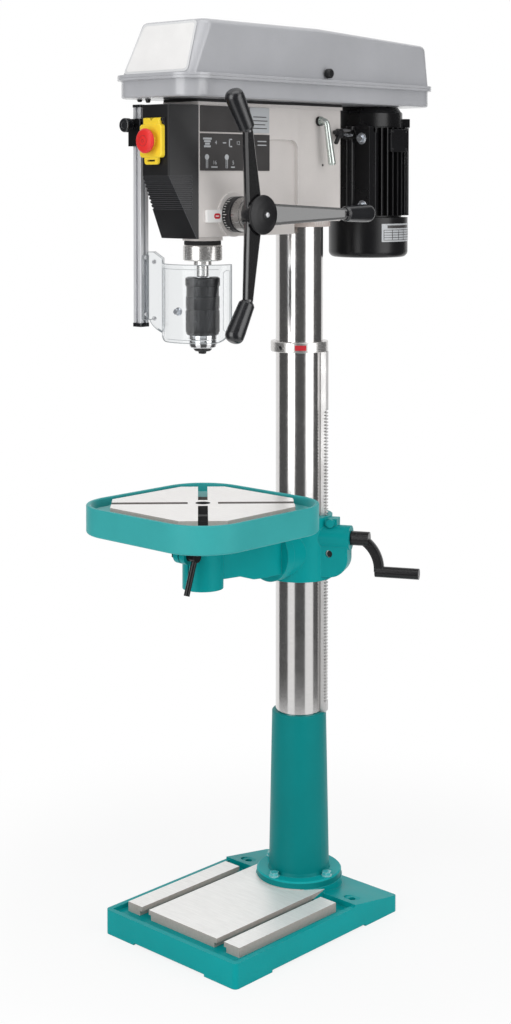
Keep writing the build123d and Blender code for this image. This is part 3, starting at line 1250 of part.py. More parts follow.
def make_idler_pulley():
    body = stepped_pulley(IDLER_STEPS, IDLER_PIN_R + RUN, IDLER_AXIS)
    return body + ring(14, IDLER_PIN_R + RUN, IDLER_ARM_HIGH + GAP, PULLEY_BOTTOM + 1, *IDLER_AXIS)


def make_motor_pulley():
    return stepped_pulley(MOTOR_STEPS, MOTOR_SHAFT_R + SEAT, (0, MOTOR_Y))


def belt_loop(first, first_size, second, second_size, step):
    """V-belt round two grooves at one pulley step."""
    z = PULLEY_BOTTOM + (step + 0.5) * PULLEY_STEP
    dx = second[0] - first[0]
    dy = second[1] - first[1]
    length = sqrt(dx * dx + dy * dy)
    r1 = first_size / 2 - GROOVE_DEPTH + 2
    r2 = second_size / 2 - GROOVE_DEPTH + 2
    lean = degrees(acos((r1 - r2) / length))
    side1 = (r1 * cos(radians(lean)), r1 * sin(radians(lean)))
    side2 = (length + r2 * cos(radians(lean)), r2 * sin(radians(lean)))
    path = Wire([
        Line(side1, side2).edge(),
        CenterArc((length, 0), r2, lean, -2 * lean).edge(),
        Line((side2[0], -side2[1]), (side1[0], -side1[1])).edge(),
        CenterArc((0, 0), r1, -lean, 2 * lean - 360).edge(),
    ])
    section = make_face(Polyline((-1, -2.6), (6, -4.6), (6, 4.6), (-1, 2.6), close=True))
    along = Vector(side2[0] - side1[0], side2[1] - side1[1], 0)
    outward = Vector(cos(radians(lean)), sin(radians(lean)), 0)
    start = Plane(origin=(side1[0], side1[1], 0), x_dir=outward, z_dir=along)
    loop = sweep(start * section, path=path)
    return Pos(first[0], first[1], z) * Rot(0, 0, degrees(atan2(dy, dx))) * loop


def make_belts():
    motor = (0, MOTOR_Y)
    spindle = (0, SPINDLE_Y)
    rear = REAR_BELT_STEP
    front = FRONT_BELT_STEP
    return [
        belt_loop(IDLER_AXIS, IDLER_STEPS[rear], motor, MOTOR_STEPS[rear], rear),
        belt_loop(spindle, SPINDLE_STEPS[front], IDLER_AXIS, IDLER_STEPS[front], front),
    ]


# Belt cover

def pan_outline(grow, height):
    """Outline of the pan, larger all round by some amount."""
    return rounded_plan(PAN_HALF + grow, PAN_FRONT - grow, PAN_REAR + grow, PAN_CORNER_R + grow, height)


def make_pan():
    lip = PAN_HALF + LIP_REACH
    outer = extrude(pan_outline(0, PAN_BOTTOM), PAN_LIP_Z - PAN_BOTTOM)
    outer = fillet(outer.edges().group_by(Axis.Z)[0], 4)
    body = outer + extrude(pan_outline(LIP_REACH, PAN_LIP_Z), LIP_THICK)
    wall = COVER_SHEET
    body -= extrude(pan_outline(-wall, PAN_BOTTOM + wall), PAN_LIP_Z)
    high = PAN_BOTTOM + wall + 1
    body -= disc(PULLEY_SLEEVE_R + 9, PAN_BOTTOM - 1, high, 0, SPINDLE_Y)
    body -= disc(IDLER_PIVOT_R + 3, PAN_BOTTOM - 1, high, *IDLER_PIVOT)
    for y in (MOTOR_Y - MOTOR_SLIDE, MOTOR_Y):
        body -= disc(MOTOR_SHAFT_R + 9, PAN_BOTTOM - 1, high, 0, y)
    shaft_half = MOTOR_SHAFT_R + 9
    body -= block(-shaft_half, shaft_half, MOTOR_Y - MOTOR_SLIDE, MOTOR_Y, PAN_BOTTOM - 1, high)
    for y in LID_HINGES:
        for side in (-1, 1):
            start, end = sorted((y + side * 10.3, y + side * 25))
            body += rod_y(LID_HINGE_R - 1, start, end, LID_HINGE_X, LID_HINGE_Z)
            body += block(LID_HINGE_X, -lip + 2, start, end, PAN_LIP_Z, PAN_LIP_Z + LIP_THICK)
        body += rod_y(LID_HINGE_PIN_R, y - 24, y + 24, LID_HINGE_X, LID_HINGE_Z)
    return body


def lid_shape(inset):
    """Outer or inner form of the lid."""
    low = LID_BOTTOM - (1 if inset else 0)
    foot_r = LID_FOOT_R - inset
    crown_r = LID_TOP_R - inset
    foot = rounded_plan(LID_FOOT_HALF - inset, LID_FOOT_FRONT + inset, LID_FOOT_REAR - inset, foot_r, low)
    crown = rounded_plan(LID_TOP_HALF - inset, LID_TOP_FRONT + inset, LID_TOP_REAR - inset, crown_r, LID_TOP)
    form = loft([foot, crown])
    top = LID_TOP - inset
    roof = [
        (PAN_FRONT - 40, top),
        (LID_CREST_Y, top),
        (LID_TOP_REAR, LID_REAR_TOP - inset),
        (PAN_REAR + 40, LID_REAR_TOP - 2 - inset),
        (PAN_REAR + 40, LID_TOP + 40),
        (PAN_FRONT - 40, LID_TOP + 40),
    ]
    form -= side_plate(roof, PAN_HALF + 20)
    return fillet([e for e in form.edges() if e.center().Z > LID_REAR_TOP - 6], LID_EDGE_R - inset)


def make_lid():
    lip = PAN_HALF + LIP_REACH
    body = lid_shape(0) + extrude(pan_outline(LIP_REACH, LID_BOTTOM), LID_FLANGE)
    body -= lid_shape(COVER_SHEET)
    for y in LID_HINGES:
        knuckle = rod_y(LID_HINGE_R, y - 10, y + 10, LID_HINGE_X, LID_HINGE_Z)
        knuckle += block(LID_HINGE_X, -lip + 2, y - 10, y + 10, LID_BOTTOM, LID_BOTTOM + LID_FLANGE)
        body += knuckle - rod_y(LID_HINGE_PIN_R + RUN, y - 30, y + 30, LID_HINGE_X, LID_HINGE_Z)
    wall = lid_side_x(LID_KNOB_Z)
    return body - rod_x(LID_KNOB_STEM_R + RUN, wall - 10, wall + 10, LID_KNOB_Y, LID_KNOB_Z)


def lid_side_x(z):
    """Half width of the lid at a height."""
    rise = (z - LID_BOTTOM) / (LID_TOP - LID_BOTTOM)
    return LID_FOOT_HALF + (LID_TOP_HALF - LID_FOOT_HALF) * rise


def make_lid_knob():
    wall = lid_side_x(LID_KNOB_Z)
    return turned_x([
        (wall - 8, 0),
        (wall - 8, LID_KNOB_STEM_R),
        (wall + 2.5, LID_KNOB_STEM_R),
        (wall + 2.5, LID_KNOB_R - 1),
        (wall + 4, LID_KNOB_R),
        (wall + 12, LID_KNOB_R),
        (wall + 14, LID_KNOB_R - 2),
        (wall + 14, 0),
    ], LID_KNOB_Y, LID_KNOB_Z)


# Motor and slide

def make_motor_body():
    body = disc(MOTOR_CORE_R, FAN_COVER_TOP + GAP, MOTOR_SHIELD_BOTTOM, 0, MOTOR_Y)
    shield = disc(MOTOR_SHIELD_R, MOTOR_SHIELD_BOTTOM - 1, MOTOR_TOP, 0, MOTOR_Y)
    body += fillet(shield.edges().group_by(Axis.Z)[-1], 5)
    low = FAN_COVER_TOP + 4
    high = MOTOR_SHIELD_BOTTOM - 3
    half = MOTOR_FIN_THICK / 2
    for index in range(MOTOR_FIN_COUNT):
        turn = 360 * (index + 0.5) / MOTOR_FIN_COUNT
        if not 222 < turn < 318:
            fin = block(MOTOR_CORE_R - 2, MOTOR_FIN_R, -half, half, low, high)
            body += Pos(0, MOTOR_Y, 0) * Rot(0, 0, turn) * fin
    foot_back = MOTOR_Y - MOTOR_CORE_R + 22
    foot = block(-62, 62, PLATE_FRONT + PLATE_THICK, foot_back, PLATE_Z[0] + 8, PLATE_Z[1] - 12)
    body += foot
    body -= disc(ROTOR_R + 3, FAN_COVER_TOP + 16, MOTOR_SHIELD_BOTTOM - 8, 0, MOTOR_Y)
    return body - disc(MOTOR_SHAFT_R + RUN, FAN_COVER_TOP - 1, MOTOR_TOP + 1, 0, MOTOR_Y)


def make_fan_cover():
    wall = FAN_COVER_WALL
    body = disc(FAN_COVER_R, FAN_COVER_BOTTOM, FAN_COVER_TOP, 0, MOTOR_Y)
    body = fillet(body.edges().group_by(Axis.Z)[0], 12)
    room = disc(FAN_COVER_R - wall, FAN_COVER_BOTTOM + wall, FAN_COVER_TOP + 1, 0, MOTOR_Y)
    body -= fillet(room.edges().group_by(Axis.Z)[0], 10)
    body += ring(FAN_COVER_R - 1, MOTOR_CORE_R - 6, FAN_COVER_TOP - 2, FAN_COVER_TOP, 0, MOTOR_Y)
    for radius, count in ((22, 8), (34, 12), (46, 16), (58, 20)):
        for index in range(count):
            angle = 2 * pi * index / count
            x = radius * cos(angle)
            y = MOTOR_Y + radius * sin(angle)
            body -= disc(3.6, FAN_COVER_BOTTOM - 1, FAN_COVER_BOTTOM + wall + 1, x, y)
    return body


def make_rotor():
    shaft = disc(MOTOR_SHAFT_R, FAN_COVER_BOTTOM + 12, PULLEY_TOP, 0, MOTOR_Y)
    shaft += disc(ROTOR_R, FAN_COVER_TOP + 24, MOTOR_SHIELD_BOTTOM - 16, 0, MOTOR_Y)
    fan = ring(20, MOTOR_SHAFT_R - 1, FAN_COVER_BOTTOM + 22, FAN_COVER_TOP - 24, 0, MOTOR_Y)
    for index in range(8):
        blade = block(16, FAN_COVER_R - 12, -1.5, 1.5, FAN_COVER_BOTTOM + 22, FAN_COVER_TOP - 24)
        fan += Pos(0, MOTOR_Y, 0) * Rot(0, 0, 45 * index) * blade
    return shaft + fan


def make_motor_plate():
    low, high = PLATE_Z
    back = PLATE_FRONT + PLATE_THICK
    body = block(-PLATE_HALF_WIDTH, PLATE_HALF_WIDTH, PLATE_FRONT, back, low, high)
    body = fillet(body.edges().filter_by(Axis.Y), 6)
    for x in (-BAR_X, BAR_X):
        rib = disc(9, low, high - 1, x, PLATE_FRONT)
        body += rib & block(x - 10, x + 10, PLATE_FRONT - 12, back - 1, low, high)
        body -= rod_y(BAR_R + SEAT, PLATE_FRONT - 12, back + 1, x, BAR_Z)
    return body


def make_slide_bars():
    end = PLATE_FRONT + PLATE_THICK
    bars = [rod_y(BAR_R, BAR_FRONT, end, x, BAR_Z) for x in (-BAR_X, BAR_X)]
    tip = BAR_RACK_PITCH + SHORT_ADDENDUM * LEVER_MODULE
    rack = (LEVER_Y - 14, LEVER_Y + MOTOR_SLIDE + 14)
    room = block(BAR_X - BAR_R, BAR_X + BAR_R, rack[0], rack[1], BAR_Z + tip, BAR_Z + BAR_R + 1)
    for middle in gap_middles(LEVER_MODULE, LEVER_Y, rack[0] + 4, rack[1] - 4):
        points = [(along, BAR_Z + reach) for reach, along in rack_gap(LEVER_MODULE, middle, BAR_RACK_PITCH)]
        room += Pos(BAR_X, 0, 0) * side_plate(points, BAR_R)
    bars[1] -= room
    return bars


def make_tension_lever():
    plane = Plane(origin=(BAR_X - 8, LEVER_Y, LEVER_Z), x_dir=(0, 0, -1), z_dir=(1, 0, 0))
    body = extrude(plane * gear_outline(LEVER_MODULE, LEVER_TEETH), 16)
    body += rod_x(LEVER_SHAFT_R, BAR_X, HEAD_HALF_REAR + 4, LEVER_Y, LEVER_Z)
    body += rod_x(9, HEAD_HALF_REAR + GAP, HEAD_HALF_REAR + 7, LEVER_Y, LEVER_Z)
    out = HEAD_HALF_REAR + 20
    path = FilletPolyline(
        (HEAD_HALF_REAR + 4, LEVER_Y, LEVER_Z),
        (out, LEVER_Y, LEVER_Z),
        (out + 7, LEVER_Y + 9, LEVER_Z - 84),
        radius=9,
    )
    body += sweep(Plane(origin=path @ 0, z_dir=path % 0) * Circle(LEVER_ROD_R), path=path)
    thick = Plane(origin=path @ 0.4, z_dir=path % 1) * Circle(LEVER_ROD_R)
    grip = extrude(thick, path.length * 0.6, taper=-1.6)
    return body + fillet(grip.edges().group_by(Axis.Z)[0], 4)


def make_slide_lock():
    head = HEAD_HALF_REAR + 9
    body = rod_x(SLIDE_LOCK_R, BAR_X + BAR_R + GAP, head, SLIDE_LOCK_Y, BAR_Z)
    body += rod_x(9, head - 7, head + 2, SLIDE_LOCK_Y, BAR_Z)
    body += rod((head - 1, SLIDE_LOCK_Y, BAR_Z), (head + 6, SLIDE_LOCK_Y - 25, BAR_Z + 1), 4.2)
    return body + rod((head - 1, SLIDE_LOCK_Y, BAR_Z), (head + 6, SLIDE_LOCK_Y - 20, BAR_Z - 19), 4.2)


# Chuck guard

def make_guard_bracket():
    px, py = GUARD_PIVOT
    low, high = HOLDER_Z
    body = block(-HEAD_HALF_FRONT - 5, -HEAD_HALF_FRONT, HEAD_FRONT + 3, HEAD_FRONT + 42, low, high)
    for z0, z1 in ((low, low + GUARD_KNUCKLE), (high - GUARD_KNUCKLE, high)):
        body += disc(GUARD_KNUCKLE_R, z0, z1, px, py)
        body += block(px, -HEAD_HALF_FRONT, py, py + GUARD_KNUCKLE_R, z0, z1)
    return body + disc(GUARD_PIN_R, low, high, px, py)


def make_guard_holder():
    px, py = GUARD_PIVOT
    low, high = HOLDER_Z
    z0 = low + GUARD_KNUCKLE + GAP
    z1 = high - GUARD_KNUCKLE - GAP
    half = HOLDER_HALF
    body = block(POST_X - half, POST_X + half, POST_Y - half, POST_Y + half, low, high)
    body = fillet(body.edges().filter_by(Axis.Z), 3)
    web = block(POST_X, px, py - 6, py + 6, z0, z1) + block(POST_X - 4, POST_X + 6, POST_Y, py + 6, z0, z1)
    body += disc(GUARD_KNUCKLE_R, z0, z1, px, py) + web
    room = POST_SIDE / 2 + GAP
    body -= block(POST_X - room, POST_X + room, POST_Y - room, POST_Y + room, low - 1, high + 1)
    body -= disc(GUARD_PIN_R + RUN, low, high, px, py)
    return body - rod_y(3 + RUN, POST_Y - half - 1, POST_Y, POST_X, GUARD_KNOB_Z)


def make_guard_post():
    half = POST_SIDE / 2
    section = RectangleRounded(POST_SIDE, POST_SIDE, 1.2)
    for quarter in range(4):
        mouth = Pos(half, 0) * Rectangle(5, 6.2)
        throat = Pos(half - 3.2, 0) * Rectangle(3, 9)
        section -= Rot(0, 0, 90 * quarter) * (mouth + throat)
    section -= Circle(2.2)
    return Pos(POST_X, POST_Y, POST_BOTTOM) * extrude(section, POST_TOP - POST_BOTTOM)


def make_post_caps():
    half = POST_SIDE / 2 + 1
    caps = []
    for low, high in ((POST_BOTTOM - 7, POST_BOTTOM), (POST_TOP, POST_TOP + 5)):
        cap = block(POST_X - half, POST_X + half, POST_Y - half, POST_Y + half, low, high)
        caps.append(fillet(cap.edges().filter_by(Axis.Z), 2))
    return caps


def make_guard_knob():
    front = POST_Y - HOLDER_HALF
    body = rod_y(3, front - 14, POST_Y - POST_SIDE / 2 - GAP, POST_X, GUARD_KNOB_Z)
    body += rod_y(7, front - 12, front - GAP, POST_X, GUARD_KNOB_Z)
    grip = rod_y(13, front - 26, front - 11, POST_X, GUARD_KNOB_Z)
    grip = fillet(grip.edges().filter_by(GeomType.CIRCLE), 3.5)
    return body + grip - rod_y(6, front - 30, front - 25, POST_X, GUARD_KNOB_Z)


def make_guard():
    start, end = GUARD_ARC
    low, high = GUARD_Z
    corner = GUARD_CORNER_R
    arc = CenterArc((0, SPINDLE_Y), GUARD_R - GUARD_WALL / 2, start, end - start)
    strip = POST_X + POST_SIDE / 2 + GAP
    tab = Line((strip + GUARD_WALL / 2 + 0.5, POST_Y + 6), arc @ 0)
    sheet = trace(Curve() + [arc, tab], GUARD_WALL)
    body = extrude(Plane.XY.offset(low) * sheet, GUARD_TAB_TOP - low)
    body += block(strip, strip + GUARD_WALL, POST_Y - 6, POST_Y + 8, low + corner, GUARD_TAB_TOP - 6)
    slope = [
        (strip + 8, GUARD_TAB_TOP + 1),
        (strip + 24, high),
        (GUARD_R + 5, high),
        (GUARD_R + 5, GUARD_TAB_TOP + 1),
    ]
    body -= extrude(Plane.XZ * make_face(Polyline(*slope, close=True)), -2 * SPINDLE_Y, both=True)
    left = strip + 50
    cut = block(strip - 5, left, POST_Y - 60, SPINDLE_Y, low - 1, low + corner)
    body -= cut - rod_y(corner + 8, POST_Y - 80, SPINDLE_Y + 10, left, low + corner + 8)
    front = SPINDLE_Y - corner
    cut = block(0, GUARD_R + 5, front, SPINDLE_Y + 5, low - 1, low + corner)
    return body - (cut - rod_x(corner, -5, GUARD_R + 10, front, low + corner))


def export_all():
    nodes["base_plate"] = make_base()
    nodes["column_support"] = make_support()
    nodes["frame_bolts"] = make_frame_bolts()
    nodes["column_tube"] = ring(COLUMN_R, COLUMN_R - COLUMN_WALL, SUPPORT_LEDGE, COLUMN_TOP - SEAT)
    nodes["rack_collar"] = make_collar()
    nodes["column_rack"] = make_rack()
    nodes["table_bracket"] = make_bracket()
    nodes["bracket_lock"] = make_bracket_lock()
    nodes["lift_pinion"] = make_lift_pinion()
    nodes["worm_shaft"] = make_worm_shaft()
    nodes["crank_handle"] = make_crank()
    nodes["tilt_bolt"] = make_tilt_bolt()
    nodes["table_arm"] = make_table_arm()
    nodes["table_lock"] = make_table_lock()
    nodes["drill_table"] = make_table()
    nodes["head_casting"] = make_head()
    nodes["front_cover"] = make_front_cover()
    nodes["switch_box"] = make_switch_box()
    nodes["switch_flap"] = make_flap()
    nodes["stop_mushroom"] = make_mushroom()
    nodes["start_button"] = make_button(-BUTTON_X)
    nodes["stop_button"] = make_button(BUTTON_X)
    nodes["quill_sleeve"] = make_quill()
    nodes["quill_bearings"] = make_quill_bearings()
    nodes["spindle_shaft"] = make_spindle()
    nodes["chuck_body"] = make_chuck_body()
    nodes["chuck_sleeve"] = make_chuck_sleeve()
    for index, turn in enumerate(JAW_TURNS):
        nodes[f"chuck_jaw_{index + 1}"] = make_jaw(turn)
    nodes["pinion_shaft"] = make_pinion_shaft()
    nodes["feed_bush"] = make_feed_bush()
    nodes["depth_ring"] = make_depth_ring()
    nodes["feed_hub"] = make_feed_hub()
    nodes["handle_grips"] = make_grips()
    nodes["hub_cap"] = make_hub_cap()
    nodes["spring_cap"] = make_spring_cap()
    nodes["return_spring"] = make_return_spring()
    nodes["spindle_pulley"] = make_spindle_pulley()
    nodes["pulley_bearings"] = make_pulley_bearings()
    nodes["idler_arm"] = make_idler_arm()
    nodes["idler_pulley"] = make_idler_pulley()
    nodes["motor_pulley"] = make_motor_pulley()
    nodes["drive_belts"] = make_belts()
    nodes["belt_pan"] = make_pan()
    nodes["belt_cover"] = make_lid()
    nodes["cover_knob"] = make_lid_knob()
    nodes["motor_body"] = make_motor_body()
    nodes["motor_fan_cover"] = make_fan_cover()
    nodes["motor_rotor"] = make_rotor()
    nodes["motor_plate"] = make_motor_plate()
    nodes["slide_bars"] = make_slide_bars()
    nodes["tension_lever"] = make_tension_lever()
    nodes["slide_lock"] = make_slide_lock()
    nodes["guard_bracket"] = make_guard_bracket()
    nodes["guard_holder"] = make_guard_holder()
    nodes["guard_post"] = make_guard_post()
    nodes["post_caps"] = make_post_caps()
    nodes["guard_knob"] = make_guard_knob()
    nodes["guard_shield"] = make_guard()
    os.makedirs("parts", exist_ok=True)
    for name, shape in nodes.items():
        if isinstance(shape, list):
            shape = Compound(children=shape)
        export_step(shape, f"parts/{name}.step")


export_all()
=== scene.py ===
"""Looks of the pillar drill: finishes, small fittings, floor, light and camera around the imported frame."""

import math

import bmesh
import bpy
from mathutils import Matrix, Vector


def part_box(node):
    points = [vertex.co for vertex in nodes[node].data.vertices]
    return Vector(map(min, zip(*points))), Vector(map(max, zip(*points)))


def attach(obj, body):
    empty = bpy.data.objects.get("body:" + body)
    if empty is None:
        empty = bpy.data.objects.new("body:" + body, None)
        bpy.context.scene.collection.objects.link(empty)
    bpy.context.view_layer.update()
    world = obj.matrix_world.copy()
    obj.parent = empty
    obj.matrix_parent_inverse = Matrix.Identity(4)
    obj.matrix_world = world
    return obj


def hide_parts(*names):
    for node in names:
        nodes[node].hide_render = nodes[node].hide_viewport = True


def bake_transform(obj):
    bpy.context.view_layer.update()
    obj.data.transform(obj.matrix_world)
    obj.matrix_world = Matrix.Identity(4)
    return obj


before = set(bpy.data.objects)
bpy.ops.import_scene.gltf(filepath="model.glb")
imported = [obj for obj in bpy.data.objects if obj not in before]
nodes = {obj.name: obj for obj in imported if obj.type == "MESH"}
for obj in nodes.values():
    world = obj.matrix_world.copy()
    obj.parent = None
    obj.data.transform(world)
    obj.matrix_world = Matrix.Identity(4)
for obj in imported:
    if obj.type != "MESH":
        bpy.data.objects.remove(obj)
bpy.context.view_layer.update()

MM = 0.001
WHITE = (1.0, 1.0, 1.0, 1.0)


# Places on the frame, in millimetres

def side(node, axis, end):
    """A side of a node's box along an axis, to a tenth: its low side if end is 0, its high side if 1."""
    return round(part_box(node)[end]["xyz".index(axis)] / MM, 1)


def middle(node, axis):
    """The middle of a node's box along an axis."""
    return (side(node, axis, 0) + side(node, axis, 1)) / 2


SPINDLE_AXIS = (0, middle("spindle_pulley", "y"))
IDLER_AXIS = (0, middle("idler_pulley", "y"))
MOTOR_AXIS = (0, middle("motor_pulley", "y"))
FEED_AXIS = (middle("feed_bush", "y"), middle("feed_bush", "z"))
BASE_TOP = side("base_plate", "z", 1)
TABLE_TOP = side("drill_table", "z", 1)
HEAD_FRONT = side("head_casting", "y", 0)
HEAD_BACK = side("head_casting", "y", 1)
HEAD_SIDE = side("front_cover", "x", 1)
CLAMP_SIDE = 55
PAN_BOTTOM = side("belt_pan", "z", 0)
COLLAR_R = side("rack_collar", "x", 1)
FAN_COVER_R = side("motor_fan_cover", "x", 1)
SHEET_R = side("guard_shield", "x", 1)


# Node helpers

def srgb(red, green, blue):
    """A colour as it shows on a screen, 0 to 255, turned into light values."""
    shares = [c / 255 for c in (red, green, blue)]
    return [s / 12.92 if s <= 0.04045 else ((s + 0.055) / 1.055) ** 2.4 for s in shares] + [1.0]


def shade(colour, share):
    """A colour made darker or lighter by a share."""
    return [c * share for c in colour[:3]] + [1.0]


def add(tree, kind, inputs=None, **settings):
    """A node with its settings, its values and the links into it."""
    made = tree.nodes.new("ShaderNode" + kind)
    for key, value in settings.items():
        setattr(made, key, value)
    for key, value in (inputs or {}).items():
        if isinstance(value, bpy.types.NodeSocket):
            tree.links.new(value, made.inputs[key])
        else:
            made.inputs[key].default_value = value
    return made


finishes = {}


def start(name, **values):
    """A new finish: its node tree and its shader, with the plain values set on the shader's own sockets."""
    material = bpy.data.materials.new(name)
    material.use_nodes = True
    finishes[name] = material
    tree = material.node_tree
    shader = tree.nodes["Principled BSDF"]
    for key, value in values.items():
        shader.inputs[key.replace("_", " ").title().replace("Ior", "IOR")].default_value = value
    return tree, shader


def place(tree, stretch=(1.0, 1.0, 1.0)):
    """Places on the object in metres, drawn out along an axis where its stretch is small."""
    spot = add(tree, "TexCoord").outputs["Object"]
    return add(tree, "Mapping", {"Vector": spot, "Scale": stretch}).outputs["Vector"]


def noise(tree, spot, scale, detail=3.0, roughness=0.55):
    """Cloudy noise between 0 and 1."""
    values = {"Vector": spot, "Scale": scale, "Detail": detail, "Roughness": roughness}
    return add(tree, "TexNoise", values).outputs["Fac"]


def between(tree, factor, low, high, start_at=0.3, end_at=0.7):
    """A value from low to high while the factor goes from start_at to end_at."""
    values = {"Value": factor, "From Min": start_at, "From Max": end_at, "To Min": low, "To Max": high}
    return add(tree, "MapRange", values).outputs["Result"]


def tint(tree, factor, *stops):
    """A colour that runs through the stops as the factor goes from 0 to 1."""
    ramp = add(tree, "ValToRGB", {"Fac": factor})
    points = ramp.color_ramp.elements
    while len(points) < len(stops):
        points.new(0.5)
    for point, (at, colour) in zip(points, stops):
        point.position = at
        point.color = colour
    return ramp.outputs["Color"]


def blend(tree, factor, first, second):
    """A colour between two others."""
    mix = add(tree, "Mix", data_type="RGBA")
    for socket, value in ((mix.inputs[0], factor), (mix.inputs[6], first), (mix.inputs[7], second)):
        if isinstance(value, bpy.types.NodeSocket):
            tree.links.new(value, socket)
        else:
            socket.default_value = value
    return mix.outputs[2]


def worked_out(tree, operation, first, second, **settings):
    """The sum or the product of two values."""
    return add(tree, "Math", {0: first, 1: second}, operation=operation, **settings).outputs[0]


def softened(tree, radius):
    """A normal that rounds sharp edges."""
    return add(tree, "Bevel", {"Radius": radius}, samples=4).outputs["Normal"]


def edge_mask(tree, soft):
    """A mask that is 1 along sharp edges, where the softened normal leaves the flat one."""
    flat = add(tree, "NewGeometry").outputs["Normal"]
    same = add(tree, "VectorMath", {0: soft, 1: flat}, operation="DOT_PRODUCT").outputs["Value"]
    return between(tree, same, 1.0, 0.0, start_at=0.86, end_at=0.99)


def relief(tree, shader, height, depth, normal=None):
    """Fine bumps on the surface, on top of a softened normal if there is one."""
    values = {"Height": height, "Distance": depth, "Strength": 1.0}
    if normal is not None:
        values["Normal"] = normal
    tree.links.new(add(tree, "Bump", values).outputs["Normal"], shader.inputs["Normal"])


# Kinds of finish

def paint(name, colour, edge_wear_and_highlight, rough, ripple, grain, rub_and_highlight, **values):
    """Sprayed paint: a slightly uneven tone, orange peel, and a lighter line along sharp edges that is partly
    wear and partly painted highlight.
    """
    tree, shader = start(name, **values)
    spot = place(tree)
    cloud = noise(tree, spot, scale=7.0, detail=4.0)
    speck = noise(tree, spot, scale=260.0, detail=2.0)
    soft = softened(tree, radius=1.6 * MM)
    edge = edge_mask(tree, soft)
    tone = tint(tree, cloud, (0.3, shade(colour, 0.93)), (0.7, shade(colour, 1.05)))
    specked = between(tree, speck, 0.0, 0.12, start_at=0.55, end_at=0.8)
    tone = blend(tree, specked, tone, shade(colour, 0.72))
    ragged = between(tree, noise(tree, spot, scale=90.0), 0.25 * rub_and_highlight, rub_and_highlight)
    # Lighter colour along edges: partly rubbing wear, partly painted highlight.
    wear_and_highlight_mask = worked_out(tree, "MULTIPLY", edge, ragged)
    tree.links.new(blend(tree, wear_and_highlight_mask, tone, edge_wear_and_highlight), shader.inputs["Base Color"])
    tree.links.new(between(tree, cloud, *rough), shader.inputs["Roughness"])
    relief(tree, shader, noise(tree, spot, scale=grain, detail=2.0), ripple, soft)


def plastic(name, colour, rough, grain, depth, **values):
    """Moulded plastic: fine spark-eroded grain, a dusting that dulls it in places, and a painted highlight
    that lightens its edges.
    """
    tree, shader = start(name, **values)
    spot = place(tree)
    cloud = noise(tree, spot, scale=14.0, detail=4.0)
    soft = softened(tree, radius=1.3 * MM)
    edge = edge_mask(tree, soft)
    tone = tint(tree, cloud, (0.3, shade(colour, 0.88)), (0.72, shade(colour, 1.1)))
    # Paler colour along edges: painted highlight.
    pale = [0.75 * c + 0.12 for c in colour[:3]] + [1.0]
    tone = blend(tree, between(tree, edge, 0.0, 0.7, start_at=0.0, end_at=1.0), tone, pale)
    tree.links.new(tone, shader.inputs["Base Color"])
    tree.links.new(between(tree, cloud, *rough), shader.inputs["Roughness"])
    relief(tree, shader, noise(tree, spot, scale=grain, detail=1.0), depth, soft)


def steel(name, colour, rough, stretch, lines, depth, stain=0.0, metallic=1.0):
    """Machined metal: tool lines drawn out along the axes where stretch is small, and faint stains."""
    tree, shader = start(name, metallic=metallic)
    cut = noise(tree, place(tree, stretch), scale=lines, detail=2.0, roughness=0.7)
    cloud = noise(tree, place(tree), scale=18.0, detail=5.0, roughness=0.65)
    tone = tint(tree, cut, (0.25, shade(colour, 0.9)), (0.75, shade(colour, 1.06)))
    rust = [colour[0] * 0.62, colour[1] * 0.5, colour[2] * 0.42, 1.0]
    tone = blend(tree, between(tree, cloud, 0.0, stain, start_at=0.52, end_at=0.75), tone, rust)
    tree.links.new(tone, shader.inputs["Base Color"])
    mottle = worked_out(tree, "ADD", between(tree, cloud, *rough), between(tree, cut, -0.03, 0.03))
    tree.links.new(mottle, shader.inputs["Roughness"])
    relief(tree, shader, cut, depth, softened(tree, radius=0.6 * MM))


def film(name, colour, rough):
    """Printed film or enamelled sheet for plates and marks."""
    tree, shader = start(name, coat_weight=0.15)
    spot = place(tree)
    cloud = noise(tree, spot, scale=30.0, detail=4.0)
    tone = tint(tree, cloud, (0.3, shade(colour, 0.97)), (0.7, shade(colour, 1.01)))
    tree.links.new(tone, shader.inputs["Base Color"])
    tree.links.new(between(tree, cloud, rough - 0.06, rough + 0.06), shader.inputs["Roughness"])
    relief(tree, shader, noise(tree, spot, scale=900.0, detail=1.0), 0.01 * MM)


def rubber(name, colour):
    """Belt rubber: matt, with cloth fibres across it."""
    tree, shader = start(name)
    fibre = noise(tree, place(tree, (1.0, 1.0, 6.0)), scale=500.0, detail=2.0)
    tone = tint(tree, fibre, (0.3, shade(colour, 0.7)), (0.75, shade(colour, 1.6)))
    tree.links.new(tone, shader.inputs["Base Color"])
    tree.links.new(between(tree, fibre, 0.75, 0.92), shader.inputs["Roughness"])
    relief(tree, shader, fibre, 0.06 * MM)


def clear_sheet(name, colour):
    """Clear polycarbonate with hair scratches, which lets lamp light through."""
    tree, shader = start(name, base_color=colour, ior=1.28, transmission_weight=1.0)
    scratch = noise(tree, place(tree, (1.0, 1.0, 0.15)), scale=420.0, detail=3.0, roughness=0.7)
    dull = between(tree, scratch, 0.01, 0.09, start_at=0.5, end_at=0.75)
    tree.links.new(dull, shader.inputs["Roughness"])
    relief(tree, shader, scratch, 0.008 * MM)
    through = add(tree, "BsdfTransparent", {"Color": shade(colour, 0.94)}).outputs["BSDF"]
    lamp = add(tree, "LightPath").outputs["Is Shadow Ray"]
    both = add(tree, "MixShader", {0: lamp, 1: shader.outputs["BSDF"], 2: through}).outputs["Shader"]
    tree.links.new(both, tree.nodes["Material Output"].inputs["Surface"])


